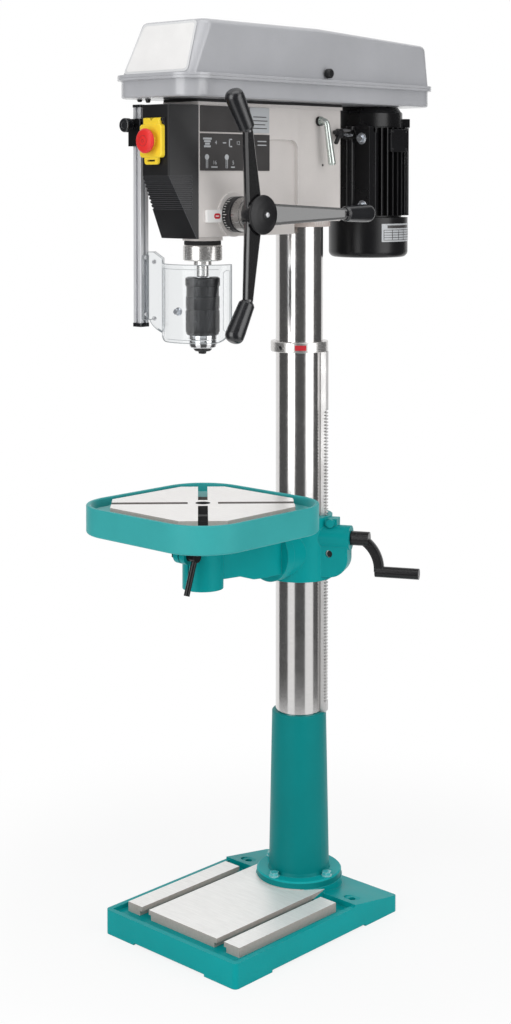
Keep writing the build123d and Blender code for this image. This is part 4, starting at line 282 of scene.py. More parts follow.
def teal(name, colour):
    """The machine's enamel on rough castings, in a tone given per casting, some of these tones being painted
    light or painted shade, with a lighter teal along edges that is partly wear and partly painted highlight.
    """
    paint(
        name, colour, edge_wear_and_highlight=srgb(96, 190, 188), rough=(0.34, 0.46), ripple=0.12 * MM, grain=150.0, rub_and_highlight=0.55,
        specular_ior_level=0.12)


def zinc(name, colour, rough, metallic):
    """Plated steel, with soft clouds and no relief."""
    steel(name, colour, rough, stretch=EVEN, lines=40.0, depth=0.0, metallic=metallic)


# Finishes, with the way that tool lines run on metal

BLACK = srgb(20, 20, 22)
# Lighter black along the edges of black paint: partly wear, partly painted highlight.
WORN_AND_HIGHLIT_BLACK = srgb(92, 92, 95)
EVEN = (1.0, 1.0, 1.0)
TURNED = (0.3, 0.3, 6.0)
GROUND = (0.05, 1.0, 1.0)
DRAWN = (6.0, 6.0, 0.1)

teal("teal_paint", srgb(0, 158, 160))
# Lighter teal on the table: painted light, where the table catches more light.
teal("table_teal_painted_light", srgb(60, 167, 168))
# Darker teal on the column support: painted shade, where the support sits in shade.
teal("support_teal_painted_shade", srgb(0, 131, 132))
# Lighter teal for the top of the support's flange: painted light.
teal("flange_top_painted_light", srgb(14, 170, 172))
# Light teal bolts with near-white edges: painted highlight.
paint(
    "bolt_teal_painted_highlight", srgb(80, 190, 194), edge_wear_and_highlight=srgb(235, 250, 250), rough=(0.14, 0.2), ripple=0.02 * MM,
    grain=200.0, rub_and_highlight=1.0, coat_weight=0.6)
# Near-white edges on the head casting: painted highlight, with a little wear.
paint(
    "head_paint", srgb(212, 207, 204), edge_wear_and_highlight=srgb(252, 251, 250), rough=(0.3, 0.4), ripple=0.05 * MM,
    grain=240.0, rub_and_highlight=1.0)
# Pale edges on the belt cover and pan: painted highlight, with a little wear.
paint(
    "cover_paint", srgb(176, 177, 181), edge_wear_and_highlight=srgb(230, 231, 234), rough=(0.28, 0.3), ripple=0.02 * MM,
    grain=420.0, rub_and_highlight=0.9, coat_weight=0.55, coat_roughness=0.15)
paint(
    "black_paint", BLACK, edge_wear_and_highlight=WORN_AND_HIGHLIT_BLACK, rough=(0.24, 0.34), ripple=0.03 * MM, grain=300.0, rub_and_highlight=0.4,
    specular_ior_level=0.35)
paint(
    "gloss_black", BLACK, edge_wear_and_highlight=WORN_AND_HIGHLIT_BLACK, rough=(0.14, 0.2), ripple=0.02 * MM, grain=220.0, rub_and_highlight=0.4,
    specular_ior_level=1.0, coat_weight=0.6)

plastic(
    "black_plastic", srgb(26, 26, 28), rough=(0.34, 0.46), grain=1400.0, depth=0.04 * MM,
    specular_ior_level=0.36)
plastic(
    "grip_plastic", srgb(26, 27, 30), rough=(0.2, 0.28), grain=60.0, depth=0.02 * MM,
    specular_ior_level=0.7)
# Near-black that stands for shade in holes, deep slot ends and the lever hub's sides: painted shade.
plastic("painted_shade_black", srgb(14, 14, 15), rough=(0.6, 0.75), grain=700.0, depth=0.03 * MM)
plastic("yellow", srgb(244, 212, 48), rough=(0.34, 0.44), grain=900.0, depth=0.02 * MM)
plastic("red", srgb(222, 40, 38), rough=(0.3, 0.4), grain=900.0, depth=0.02 * MM)
# Darker red for the stop mushroom's rings: painted shade.
plastic("deep_red", srgb(148, 20, 24), rough=(0.36, 0.46), grain=900.0, depth=0.02 * MM)
plastic("green", srgb(34, 140, 62), rough=(0.3, 0.4), grain=900.0, depth=0.02 * MM)
rubber("belt_rubber", srgb(34, 34, 35))
clear_sheet("clear_guard", srgb(236, 238, 239))

steel("bright_steel", srgb(214, 212, 211), rough=(0.13, 0.2), stretch=TURNED, lines=300.0, depth=0.006 * MM)
steel("chrome", srgb(226, 226, 228), rough=(0.1, 0.16), stretch=TURNED, lines=300.0, depth=0.003 * MM)
steel(
    "dark_steel", srgb(40, 40, 42), rough=(0.28, 0.38), stretch=TURNED, lines=300.0, depth=0.02 * MM,
    metallic=0.25)
steel(
    "turned_steel", srgb(214, 212, 210), rough=(0.24, 0.3), stretch=TURNED, lines=260.0, depth=0.002 * MM,
    metallic=0.85)
steel(
    "ring_steel", srgb(160, 158, 156), rough=(0.2, 0.26), stretch=TURNED, lines=260.0, depth=0.002 * MM,
    metallic=0.92)
steel(
    "plain_steel", srgb(192, 191, 190), rough=(0.26, 0.38), stretch=EVEN, lines=500.0, depth=0.03 * MM,
    stain=0.12)
steel(
    "profile", srgb(222, 223, 226), rough=(0.4, 0.48), stretch=DRAWN, lines=240.0, depth=0.01 * MM,
    metallic=0.35)
steel(
    "ground_top", srgb(243, 241, 239), rough=(0.36, 0.44), stretch=GROUND, lines=600.0, depth=0.006 * MM,
    stain=0.03, metallic=0.65)
steel(
    "bed_top", srgb(250, 248, 246), rough=(0.4, 0.48), stretch=GROUND, lines=600.0, depth=0.006 * MM,
    stain=0.02, metallic=0.3)
steel("cast_aluminium", srgb(196, 197, 199), rough=(0.36, 0.5), stretch=EVEN, lines=260.0, depth=0.1 * MM)
steel(
    "raw_casting", srgb(196, 184, 178), rough=(0.5, 0.62), stretch=EVEN, lines=220.0, depth=0.08 * MM,
    stain=0.25, metallic=0.0)
# Bare metal darkened for the table's slot walls: painted shade.
steel(
    "slot_wall_painted_shade", srgb(118, 113, 110), rough=(0.5, 0.62), stretch=EVEN, lines=220.0, depth=0.06 * MM,
    stain=0.2, metallic=0.0)
zinc("bolt_zinc", srgb(200, 205, 212), rough=(0.2, 0.28), metallic=0.9)
zinc("lever_zinc", srgb(200, 208, 203), rough=(0.26, 0.32), metallic=0.85)
zinc("zinc_plate", srgb(222, 223, 226), rough=(0.28, 0.38), metallic=0.6)

film("white_film", srgb(240, 239, 238), rough=0.34)
film("rim_film", srgb(222, 223, 224), rough=0.34)
film("dark_film", srgb(64, 62, 62), rough=0.36)
film("pale_film", srgb(186, 189, 192), rough=0.36)
film("red_film", srgb(200, 40, 52), rough=0.34)
# Grey for the clear sheet's edges and ribs: painted shade.
film("sheet_edge_painted_shade", srgb(164, 168, 171), rough=0.3)
# Lighter grey for rib edges on black plastic: painted highlight.
film("rib_painted_highlight", srgb(84, 85, 89), rough=0.4)


# Finishes on the frame

USES = {
    "teal_paint": "table_bracket table_arm",
    "bolt_teal_painted_highlight": "frame_bolts",
    "cover_paint": "belt_cover belt_pan",
    "black_paint": "motor_body motor_fan_cover motor_plate guard_holder crank_handle table_lock bracket_lock"
    " spring_cap",
    "gloss_black": "feed_hub",
    "black_plastic": "front_cover switch_box hub_cap feed_bush cover_knob slide_lock",
    "grip_plastic": "handle_grips guard_knob post_caps",
    "bright_steel": "column_tube pinion_shaft slide_bars",
    "plain_steel": "column_rack lift_pinion worm_shaft tilt_bolt quill_bearings pulley_bearings idler_arm"
    " motor_rotor return_spring guard_bracket",
    "dark_steel": "chuck_sleeve chuck_jaw_1 chuck_jaw_2 chuck_jaw_3",
    "turned_steel": "quill_sleeve spindle_shaft rack_collar",
    "ring_steel": "depth_ring",
    "profile": "guard_post",
    "cast_aluminium": "spindle_pulley idler_pulley motor_pulley",
    "clear_guard": "guard_shield",
    "yellow": "switch_flap",
    "red": "stop_mushroom stop_button",
    "green": "start_button",
}


def dress(node, *names):
    """Puts finishes in a node's slots, with the first one on every face."""
    mesh = nodes[node].data
    mesh.materials.clear()
    for name in names:
        mesh.materials.append(finishes[name])
    mesh.polygons.foreach_set("material_index", [0] * len(mesh.polygons))
    return mesh


def dress_faces(node, most, some, chosen):
    """One finish on most faces of a node, and another on those chosen by middle in millimetres and normal."""
    for face in dress(node, most, some).polygons:
        if chosen(face.center / MM, face.normal):
            face.material_index = 1


def dress_bed(node, enamel, machined, inside, top, depth, skim):
    """A machined face on the top of a cast bed, and bare casting on its sides and down in its slots."""
    mesh = dress(node, enamel, machined, "raw_casting")
    for face in mesh.polygons:
        x, y, z = face.center / MM
        if inside(x, y) and z > top - depth:
            face.material_index = 1 if face.normal.z > 0.9 and z > top - skim else 2
    return mesh


def on_base_bed(x, y):
    """Whether a place lies on the machined bed of the base."""
    half_width, front, back = 145.5, -322.5, -57.5
    return abs(x) < half_width and front < y < back


def on_table_bed(x, y):
    """Whether a place lies on the machined bed of the table, whose corners are cut off."""
    half_width, cut_corner = 149.5, 238.5
    across, ahead = abs(x), abs(y - SPINDLE_AXIS[1])
    return max(across, ahead) < half_width and across + ahead < cut_corner


def dress_slots(mesh):
    """Painted shade in the table: bare walls darkened in its slots, and black in its hole and at the ends of
    the front right slot.
    """
    hole_r, slot_half, skim = 14.6, 9.6, 1.5
    slot_start, slot_end = 27, 170
    black_start, black_end = 17, 168
    # Black for shade in the hole and at slot ends, darkened walls for shade in the slots.
    black, wall = len(mesh.materials), len(mesh.materials) + 1
    mesh.materials.append(finishes["painted_shade_black"])
    mesh.materials.append(finishes["slot_wall_painted_shade"])
    for face in mesh.polygons:
        x, y, z = face.center / MM - Vector((*SPINDLE_AXIS, TABLE_TOP))
        along, across = (x - y) / math.sqrt(2), (x + y) / math.sqrt(2)
        near, far = sorted((abs(along), abs(across)))
        faces_across = abs(face.normal.x + face.normal.y) > 1
        faces_along = abs(face.normal.x - face.normal.y) > 1
        if z > -skim:
            continue
        if math.hypot(x, y) < hole_r:
            face.material_index = black
        elif near < slot_half and slot_start < far < slot_end:
            if faces_across or faces_along:
                face.material_index = wall
            if black_start < along < black_end and near == abs(across) and not faces_across:
                face.material_index = black


for finish, users in USES.items():
    for user in users.split():
        dress(user, finish)

dress_bed("base_plate", "teal_paint", "bed_top", on_base_bed, BASE_TOP, depth=18.5, skim=1.5)
table = dress_bed("drill_table", "table_teal_painted_light", "ground_top", on_table_bed, TABLE_TOP, depth=15.5, skim=0.5)
dress_slots(table)

# The column's bright steel doesn't mirror the table.
nodes["drill_table"].visible_glossy = False

nose_top = side("chuck_body", "z", 0) + 15.5
dress_faces("chuck_body", "chrome", "dark_steel", lambda at, normal: at.z < nose_top)

# The sides of the lever's pivot hub are painted black as shade.
hub_side = 61.5
dress_faces(
    "tension_lever", "lever_zinc", "painted_shade_black",
    lambda at, normal: at.x < hub_side and abs(normal.x) < 0.5)

# The flange's upward faces take a lighter teal: painted light on its top.
flange_top = side("column_support", "z", 0) + 13.5
dress_faces(
    "column_support", "support_teal_painted_shade", "flange_top_painted_light",
    lambda at, normal: at.z < flange_top and normal.z > 0.5)

clamp_front = -70
clamp_top = side("head_casting", "z", 0) + 30.5
dress_faces(
    "head_casting", "head_paint", "raw_casting",
    lambda at, normal: at.y > clamp_front and at.z < clamp_top)


# Shapes of the small fittings, in millimetres

AS_BUILT = Matrix.Identity(4)


def circle(radius, height, count=24):
    """Points round an upright axis."""
    turns = [2 * math.pi * i / count for i in range(count)]
    return [Vector((radius * math.cos(t), radius * math.sin(t), height)) for t in turns]


def hexagon(radius, height, count=24):
    """A hexagon with as many points as a circle has, so that both fit in one skin."""
    ring = []
    for i in range(count):
        turn = 2 * math.pi * i / count
        off_middle = (turn % (math.pi / 3)) - math.pi / 6
        reach = radius * math.cos(math.pi / 6) / math.cos(off_middle)
        ring.append(Vector((reach * math.cos(turn), reach * math.sin(turn), height)))
    return ring


def rounded(width, height, corner, level, steps=5):
    """A rectangle with rounded corners."""
    ring = []
    for quarter, (sx, sy) in enumerate(((1, 1), (-1, 1), (-1, -1), (1, -1))):
        for i in range(steps + 1):
            turn = math.pi / 2 * (quarter + i / steps)
            x = sx * (width / 2 - corner) + corner * math.cos(turn)
            y = sy * (height / 2 - corner) + corner * math.sin(turn)
            ring.append(Vector((x, y, level)))
    return ring


def shifted(rings, at):
    """Rings moved sideways to a place on their plate."""
    return [[point + Vector((*at, 0)) for point in ring] for ring in rings]


def skin(shape, rings, closed=False):
    """A skin through rings of points: flat caps at its two ends, or closed round into a band."""
    rows = [[shape.verts.new(point) for point in ring] for ring in rings]
    pairs = zip(rows, rows[1:] + rows[:1] if closed else rows[1:])
    for low, high in pairs:
        for i, corner in enumerate(low):
            j = (i + 1) % len(low)
            shape.faces.new((corner, low[j], high[j], high[i]))
    if not closed:
        shape.faces.new(reversed(rows[0]))
        shape.faces.new(rows[-1])
    return shape


def facing(at, normal, up=(0, 0, 1)):
    """A frame at a point in millimetres whose own Z looks along the normal and whose own Y looks up."""
    z = Vector(normal).normalized()
    x = Vector(up).cross(z).normalized()
    y = z.cross(x)
    turn = Matrix((x, y, z)).transposed().to_4x4()
    return Matrix.Translation(Vector(at) * MM) @ turn


def on_cylinder(axis, radius, bearing, height):
    """A frame on an upright cylinder, looking outwards at a bearing in degrees."""
    out = Vector((math.cos(math.radians(bearing)), math.sin(math.radians(bearing)), 0))
    return facing(Vector((axis[0], axis[1], height)) + radius * out, out)


def upright(axis):
    """A frame on an upright axis, at floor height."""
    return Matrix.Translation(Vector((*axis, 0)) * MM)


def finish_piece(name, mesh, finish, body):
    """Puts a mesh in the scene, smooth where it is round, carried by a body if it has one."""
    mesh.materials.clear()
    mesh.materials.append(finishes[finish])
    mesh.shade_smooth()
    mesh.set_sharp_from_angle(angle=math.radians(35))
    made = bpy.data.objects.new(name, mesh)
    bpy.context.scene.collection.objects.link(made)
    if body:
        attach(made, body)
    return made


def piece(name, shape, where, finish, body):
    """A fitting built in millimetres and put in its place."""
    bmesh.ops.scale(shape, vec=(MM, MM, MM), verts=shape.verts)
    bmesh.ops.transform(shape, matrix=where, verts=shape.verts)
    bmesh.ops.recalc_face_normals(shape, faces=shape.faces)
    mesh = bpy.data.meshes.new(name)
    shape.to_mesh(mesh)
    shape.free()
    return finish_piece(name, mesh, finish, body)


def slab(shape, size, corner, thick, at=(0, 0), taper=0.0):
    """A plate with rounded corners and a softened front edge, narrower at its top by its taper."""
    edge = min(0.4 * thick, 0.5)
    rings = [rounded(*size, corner, 0.0), rounded(*size, corner, thick - edge)]
    rings.append(rounded(size[0] - 2 * edge, size[1] - 2 * edge, corner - edge / 2, thick))
    for ring in rings:
        for point in ring:
            point.x *= 1 - taper * point.y / size[1]
    return skin(shape, shifted(rings, at))


def disc(shape, radius, thick, at=(0, 0)):
    """A round plate with a softened front edge."""
    edge = min(0.3 * thick, 0.5)
    rings = [circle(radius, 0), circle(radius, thick - edge), circle(radius - edge, thick)]
    return skin(shape, shifted(rings, at))


def plate(name, where, finish, body, size, corner, thick, taper=0.0):
    """A slab as a piece of its own."""
    return piece(name, slab(bmesh.new(), size, corner, thick, taper=taper), where, finish, body)


def hex_bolt(name, where, body, radius, height):
    """A hexagon head with a chamfer, on a round washer."""
    washer = 0.3 * height
    washer_r = 1.35 * radius
    top = washer + height
    shape = skin(bmesh.new(), [circle(washer_r, 0), circle(washer_r, 0.4 * washer), circle(radius, washer)])
    skin(shape, [hexagon(radius, washer), hexagon(radius, top - 0.2 * height), circle(0.78 * radius, top)])
    return piece(name, shape, where, "bolt_zinc", body)


def button_screw(name, where, finish, body, radius, height):
    """A domed screw head with a hexagon socket."""
    dome = ((1, 0), (0.98, 0.3), (0.82, 0.75), (0.58, 1))
    rings = [circle(reach * radius, rise * height) for reach, rise in dome]
    rings += [hexagon(0.5 * radius, rise * height) for rise in (1, 0.45)]
    return piece(name, skin(bmesh.new(), rings), where, finish, body)


def wrapped(shape, axis, radius, turns, heights, thick):
    """A plate bent round an upright cylinder, between two bearings in degrees."""
    steps = 12
    rings = []
    for i in range(steps + 1):
        turn = math.radians(turns[0] + (turns[1] - turns[0]) * i / steps)
        ring = []
        for reach, z in ((0, heights[0]), (thick, heights[0]), (thick, heights[1]), (0, heights[1])):
            x = axis[0] + (radius + reach) * math.cos(turn)
            y = axis[1] + (radius + reach) * math.sin(turn)
            ring.append(Vector((x, y, z)))
        rings.append(ring)
    return skin(shape, rings)


def turned(shape, sizes):
    """A ring round an upright axis, through pairs of radius and height."""
    return skin(shape, [circle(radius, height, 48) for radius, height in sizes], closed=True)


def knurled(shape, radius, heights, count, depth):
    """A knurled band round an upright axis."""
    def ribbed(level, rise):
        ring = circle(radius, level, 2 * count)
        for point in ring[::2]:
            point.xy *= 1 + rise / radius
        return ring

    low, high = heights
    rings = [circle(radius - 1, low, 2 * count), ribbed(low, 0), ribbed(low + depth, depth)]
    rings += [ribbed(high - depth, depth), ribbed(high, 0), circle(radius - 1, high, 2 * count)]
    return skin(shape, rings, closed=True)


def ticks(shape, radius, start_at, count, longest):
    """Graduation marks round a dial, every fifth one longer, on a cylinder along the frame's own Z."""
    outwards = Matrix(((0, 0, 1), (1, 0, 0), (0, 1, 0))).to_4x4()
    for i in range(count):
        length = longest if i % 5 == 0 else 0.55 * longest
        done = len(shape.verts)
        slab(shape, (0.9, length), corner=0.2, thick=0.3, at=(0, start_at + length / 2))
        shape.verts.ensure_lookup_table()
        turn = Matrix.Rotation(2 * math.pi * i / count, 4, "Z")
        stand = turn @ Matrix.Translation((radius, 0, 0)) @ outwards
        bmesh.ops.transform(shape, matrix=stand, verts=shape.verts[done:])
    return shape


def drawn(name, curve, where, finish, body):
    """The mesh of a curve or of plain numbers, as a piece."""
    source = bpy.data.objects.new(name + "_source", curve)
    bpy.context.scene.collection.objects.link(source)
    bpy.context.view_layer.update()
    mesh = bpy.data.meshes.new_from_object(source.evaluated_get(bpy.context.evaluated_depsgraph_get()))
    bpy.data.objects.remove(source)
    mesh.transform(where)
    return finish_piece(name, mesh, finish, body)


def digits(name, text, where, finish, body, size):
    """Plain numbers as a thin raised print."""
    curve = bpy.data.curves.new(name, "FONT")
    curve.body = text
    curve.size = size * MM
    curve.align_x = "CENTER"
    curve.align_y = "CENTER"
    curve.extrude = 0.08 * MM
    return drawn(name, curve, where, finish, body)


def thin_lines(name, runs, finish, body, radius):
    """Thin round lines through runs of points in metres."""
    curve = bpy.data.curves.new(name, "CURVE")
    curve.dimensions = "3D"
    curve.bevel_depth = radius * MM
    curve.bevel_resolution = 1
    curve.use_fill_caps = True
    for points in runs:
        run = curve.splines.new("POLY")
        run.points.add(len(points) - 1)
        for point, spot in zip(run.points, points):
            point.co = (*spot, 1.0)
    return drawn(name, curve, AS_BUILT, finish, body)


def edge_lines(name, node, finish, body, radius):
    """A thin line along a node's sharp edges, in a finish that paints the highlight or the shade gathered
    there, as the caller chooses.
    """
    sharp = 0.7
    mesh = nodes[node].data
    spots = [tuple(round(v, 6) for v in vertex.co) for vertex in mesh.vertices]
    sides = {}
    for face in mesh.polygons:
        for first, second in face.edge_keys:
            sides.setdefault(tuple(sorted((spots[first], spots[second]))), []).append(face.normal)
    runs = [key for key, normals in sides.items() if len(normals) == 2 and normals[0].dot(normals[1]) < sharp]
    return thin_lines(name, runs, finish, body, radius)


# Small fittings

def lid_label():
    """A bare white plate with a pale grey rim, on the sloping front of the lid."""
    where = facing((0, -367.7, 1656), (0, -1, 0.42))
    plate("lid_label_rim", where, "rim_film", "lid", size=(151.7, 100), corner=9, thick=0.4, taper=0.179)
    plate("lid_label", where, "white_film", "lid", size=(141.7, 91), corner=7, thick=0.8, taper=0.174)


def side_panel():
    """Plates on the right side of the head, with plain numbers and drill signs."""
    thick = 1.7
    row, low_row = 1530, 1470
    top_y, corner_y, low_y = -255.5, -164.5, -228.5

    def at(y, z, out=HEAD_SIDE):
        return facing((out, y, z), (1, 0, 0))

    def on_plate(y, z):
        return at(y, z, HEAD_SIDE + thick)

    plate("panel_top", at(top_y, row), "dark_film", "frame", size=(129, 47), corner=1, thick=thick)
    plate("panel_corner", at(corner_y, row), "pale_film", "frame", size=(53, 47), corner=1, thick=thick)
    plate("panel_low", at(low_y, low_row), "dark_film", "frame", size=(183, 67), corner=1, thick=thick)

    signs = bmesh.new()
    print_thick = 0.25

    def bar(width, height, x, y, corner=0.8):
        slab(signs, (width, height), corner, print_thick, at=(x, y))

    for i, width in enumerate((22, 17, 12, 17)):
        bar(width, 3.6, -74, 24 - 4.6 * i)
    bar(9, 2, -30, 17)
    bar(2.4, 15, -17, 17)
    for y in (10.5, 23.5):
        bar(8, 2.2, -14, y)
    for x in (-75, -24):
        disc(signs, radius=5.2, thick=print_thick, at=(x, -9))
        for off_middle in (-1.9, 1.9):
            bar(1.4, 16, x + off_middle, -21, corner=0.5)
    bar(16, 2.4, -56, -27)
    bar(10, 2.4, -8, -27)
    for y in (21, 14):
        bar(24, 2, 70, y)
    piece("panel_signs", signs, on_plate(low_y, low_row), "pale_film", "frame")

    numbers = (("a", "4", -52, 17), ("b", "12", 6, 17), ("c", "16", -55, -19), ("d", "5", -7, -19))
    for name, text, y, z in numbers:
        digits("panel_number_" + name, text, on_plate(low_y + y, low_row + z), "pale_film", "frame", size=10)
    lines = bmesh.new()
    for i, width in enumerate((36, 42, 30, 39)):
        slab(lines, (width, 1.6), corner=0.6, thick=0.2, at=(0, 6 - 7 * i))
    piece("panel_lines", lines, on_plate(corner_y, row), "dark_film", "frame")


def depth_pointer():
    """The white pointer block of the depth stop, with its red index."""
    block_thick, index_thick = 5.5, 0.4
    height, block_y, index_y = 1354.5, -288, -281

    def at(y, out):
        return facing((HEAD_SIDE + out, y, height), (1, 0, 0))

    plate("depth_pointer", at(block_y, 0), "white_film", "frame", size=(38, 23), corner=2, thick=block_thick)
    where = at(index_y, block_thick)
    plate("depth_index", where, "red_film", "frame", size=(16, 10), corner=4.5, thick=index_thick)
    where = at(index_y, block_thick + index_thick)
    plate("depth_arrow", where, "white_film", "frame", size=(9, 2), corner=0.8, thick=0.2)


def feed_marks():
    """Marks on the feed bush and the depth ring, the screw in the hub cap and the nut on the spring cap."""
    axis = facing((0, *FEED_AXIS), (1, 0, 0))
    bush_marks = ticks(bmesh.new(), radius=33, start_at=52, count=40, longest=9)
    piece("bush_marks", bush_marks, axis, "white_film", "frame")
    ring_marks = ticks(bmesh.new(), radius=31.5, start_at=71, count=40, longest=7)
    piece("ring_marks", ring_marks, axis, "dark_film", "depth")
    where = facing((side("hub_cap", "x", 1), *FEED_AXIS), (1, 0, 0))
    button_screw("hub_screw", where, "zinc_plate", "feed", radius=4.6, height=2.4)
    where = facing((side("spring_cap", "x", 0), *FEED_AXIS), (-1, 0, 0))
    hex_bolt("spring_nut", where, "frame", radius=8, height=6)


def motor_fittings():
    """Clamp bolts, neck, terminal cover, eye and bare rating plate of the motor."""
    ear_face = 114
    for hand, sign in (("left", -1), ("right", 1)):
        for row, out, height in (("top", 62, 1501), ("low", 64, 1368)):
            where = facing((sign * out, ear_face, height), (0, -1, 0))
            hex_bolt("motor_bolt_%s_%s" % (row, hand), where, "motor", radius=8.5, height=6)
    neck = turned(bmesh.new(), ((18, 1556.5), (66, 1556.5), (63, 1561), (60, 1565.2), (18, 1565.2)))
    piece("motor_neck", neck, upright(MOTOR_AXIS), "black_paint", "motor")

    cover_back, cover_thick, bearing, height = 72, 12, -3, 1498
    where = on_cylinder(MOTOR_AXIS, cover_back, bearing, height)
    plate(
        "terminal_cover", where, "black_paint", "motor", size=(50, 45), corner=3, thick=cover_thick)
    where = on_cylinder(MOTOR_AXIS, cover_back + cover_thick, bearing, height)
    for i, (x, y) in enumerate(((-20, -17.5), (20, -17.5), (-20, 17.5), (20, 17.5))):
        spot = where @ Matrix.Translation((x * MM, y * MM, 0))
        name = "terminal_screw_%d" % (i + 1)
        button_screw(name, spot, "dark_steel", "motor", radius=2.4, height=1.4)
    where = on_cylinder(MOTOR_AXIS, radius=67, bearing=43, height=1534)
    plate("motor_eye", where, "black_paint", "motor", size=(9, 18), corner=3, thick=17)

    back, front = FAN_COVER_R - 0.1, FAN_COVER_R + 0.55
    shape = wrapped(bmesh.new(), MOTOR_AXIS, back, turns=(-31, 37), heights=(1296, 1332), thick=0.7)
    piece("rating_plate", shape, AS_BUILT, "pale_film", "motor")
    rows = [((-28, 34), (z, z + 1.1)) for z in (1299, 1304, 1309, 1314, 1319)]
    columns = [((turn, turn + 0.9), (1299, 1320.1)) for turn in (-28, -14, -2, 10, 22, 33)]
    title = [((-22, 28), (1323, 1329))]
    lines = bmesh.new()
    for turns, heights in rows + columns + title:
        wrapped(lines, MOTOR_AXIS, front, turns, heights, thick=0.2)
    piece("rating_lines", lines, AS_BUILT, "dark_film", "motor")


def under_pan():
    """The rim and a dark band that closes the gap between head and pan, and two pan screws beside the guard
    post.
    """
    inner = 2.4
    taper_start, taper_end = -150, -66

    def outline(inset, z):
        half = [(HEAD_SIDE - inset, HEAD_FRONT + inset), (HEAD_SIDE - inset, taper_start)]
        half += [(CLAMP_SIDE - inset, taper_end), (CLAMP_SIDE - inset, HEAD_BACK - inset)]
        return [Vector((x, y, z)) for x, y in half] + [Vector((-x, y, z)) for x, y in reversed(half)]

    # A dark band closes the gap under the pan.
    bands = (
        ("head_rim", 1554.8, 1560.5, 0.2, "head_paint"),
        ("pan_dark_band", 1560.3, 1565.8, 0.8, "belt_rubber"),
    )
    for name, low, high, inset, slot in bands:
        rings = [outline(inner, low), outline(inset, low), outline(inset, high), outline(inner, high)]
        piece(name, skin(bmesh.new(), rings, closed=True), AS_BUILT, slot, "frame")
    for name, x, drop in (("pan_screw_a", -62, 6), ("pan_screw_b", -84, 4)):
        where = facing((x, -345, PAN_BOTTOM), (0, 0, -1), (0, 1, 0))
        button_screw(name, where, "dark_steel", "frame", radius=5, height=drop)


def column_marks():
    """The red mark and the set screw of the rack collar, and black discs of painted shade for holes in the
    head and the lift housing.
    """
    mark = wrapped(bmesh.new(), (0, 0), COLLAR_R - 0.1, turns=(-57.5, -34.5), heights=(1092, 1102), thick=0.4)
    piece("collar_mark", mark, AS_BUILT, "red_film", "frame")
    where = on_cylinder((0, 0), radius=COLLAR_R - 0.4, bearing=-88, height=1096)
    button_screw("collar_screw", where, "dark_steel", "frame", radius=3.4, height=1.6)
    # Black discs of painted shade where the head and the lift housing have holes.
    where = facing((CLAMP_SIDE, 5.2, 1448), (1, 0, 0))
    piece("head_hole_shade", disc(bmesh.new(), radius=2.4, thick=0.4), where, "painted_shade_black", "frame")
    where = facing((78.3, 2.5, 699.5), (0.451, -0.892, 0))
    piece("lift_hole_shade", disc(bmesh.new(), radius=6.6, thick=1.5), where, "painted_shade_black", "lift")


def guard_fittings():
    """Grey lines of painted shade along the edges and moulded ribs of the chuck guard's clear sheet, and its
    screws.
    """
    edge_lines("guard_edges", "guard_shield", "sheet_edge_painted_shade", "guard", radius=0.7)

    def on_sheet(bearing, z):
        turn = math.radians(bearing)
        return Vector((SHEET_R * math.cos(turn), SPINDLE_AXIS[1] + SHEET_R * math.sin(turn), z)) * MM

    rib_low, rib_top, low_rib = 1152, 1259, 1131.5
    runs = [[on_sheet(bearing, rib_low), on_sheet(bearing, rib_top)] for bearing in (226, 230, 238, 248)]
    runs.append([on_sheet(bearing, rib_top) for bearing in range(226, 342, 4)])
    runs.append([on_sheet(bearing, low_rib) for bearing in range(256, 328, 4)])
    corners = ((345, 1150), (345, 1253), (350, 1257), (356, 1256), (356, 1152), (350, 1146), (345, 1150))
    runs.append([on_sheet(bearing, z) for bearing, z in corners])
    thin_lines("guard_ribs", runs, "sheet_edge_painted_shade", "guard", radius=0.5)

    for i, (post_z, sheet_z) in enumerate(((1278, 1270), (1174, 1166))):
        where = facing((-68.3, -346, post_z), (1, 0, 0))
        name = "guard_screw_post_%d" % (i + 1)
        button_screw(name, where, "zinc_plate", "guard", radius=3.6, height=2.4)
        where = facing((-61.9, -330.5, sheet_z), (0.84, -0.55, 0))
        name = "guard_screw_sheet_%d" % (i + 1)
        button_screw(name, where, "zinc_plate", "guard", radius=4.2, height=3)
    where = facing((11.8, -340, 1183), (0.15, -0.99, 0))
    hex_bolt("guard_stop_bolt", where, "guard", radius=5.6, height=8)


def cover_lines():
    """Painted highlight: lighter lines along the ribs of the front cover."""
    edge_lines("cover_lines", "front_cover", "rib_painted_highlight", "frame", radius=0.35)


def spindle_fittings():
    """The rubber bump ring on the quill, the bands of the chuck sleeve and the ring of the chuck nose."""
    where = upright(SPINDLE_AXIS)
    sizes = ((25.2, 1301), (33.2, 1301), (34, 1302), (34, 1307), (33, 1308.4), (25.2, 1308.4))
    piece("quill_ring", turned(bmesh.new(), sizes), where, "belt_rubber", "quill")
    bands = knurled(bmesh.new(), radius=30.4, heights=(1141, 1181), count=36, depth=0.9)
    knurled(bands, radius=31, heights=(1225.5, 1240.5), count=36, depth=0.9)
    turned(bands, ((29, 1184), (30.6, 1184), (31.2, 1185), (31.2, 1206), (30.4, 1207), (29, 1207)))
    piece("chuck_knurl", bands, where, "dark_steel", "chuck_ring")
    sizes = ((15, 1127), (25.4, 1127), (25.8, 1126), (25.8, 1118), (24.2, 1113.6), (19, 1111), (15, 1111))
    piece("nose_ring", turned(bmesh.new(), sizes), where, "chrome", "spindle")


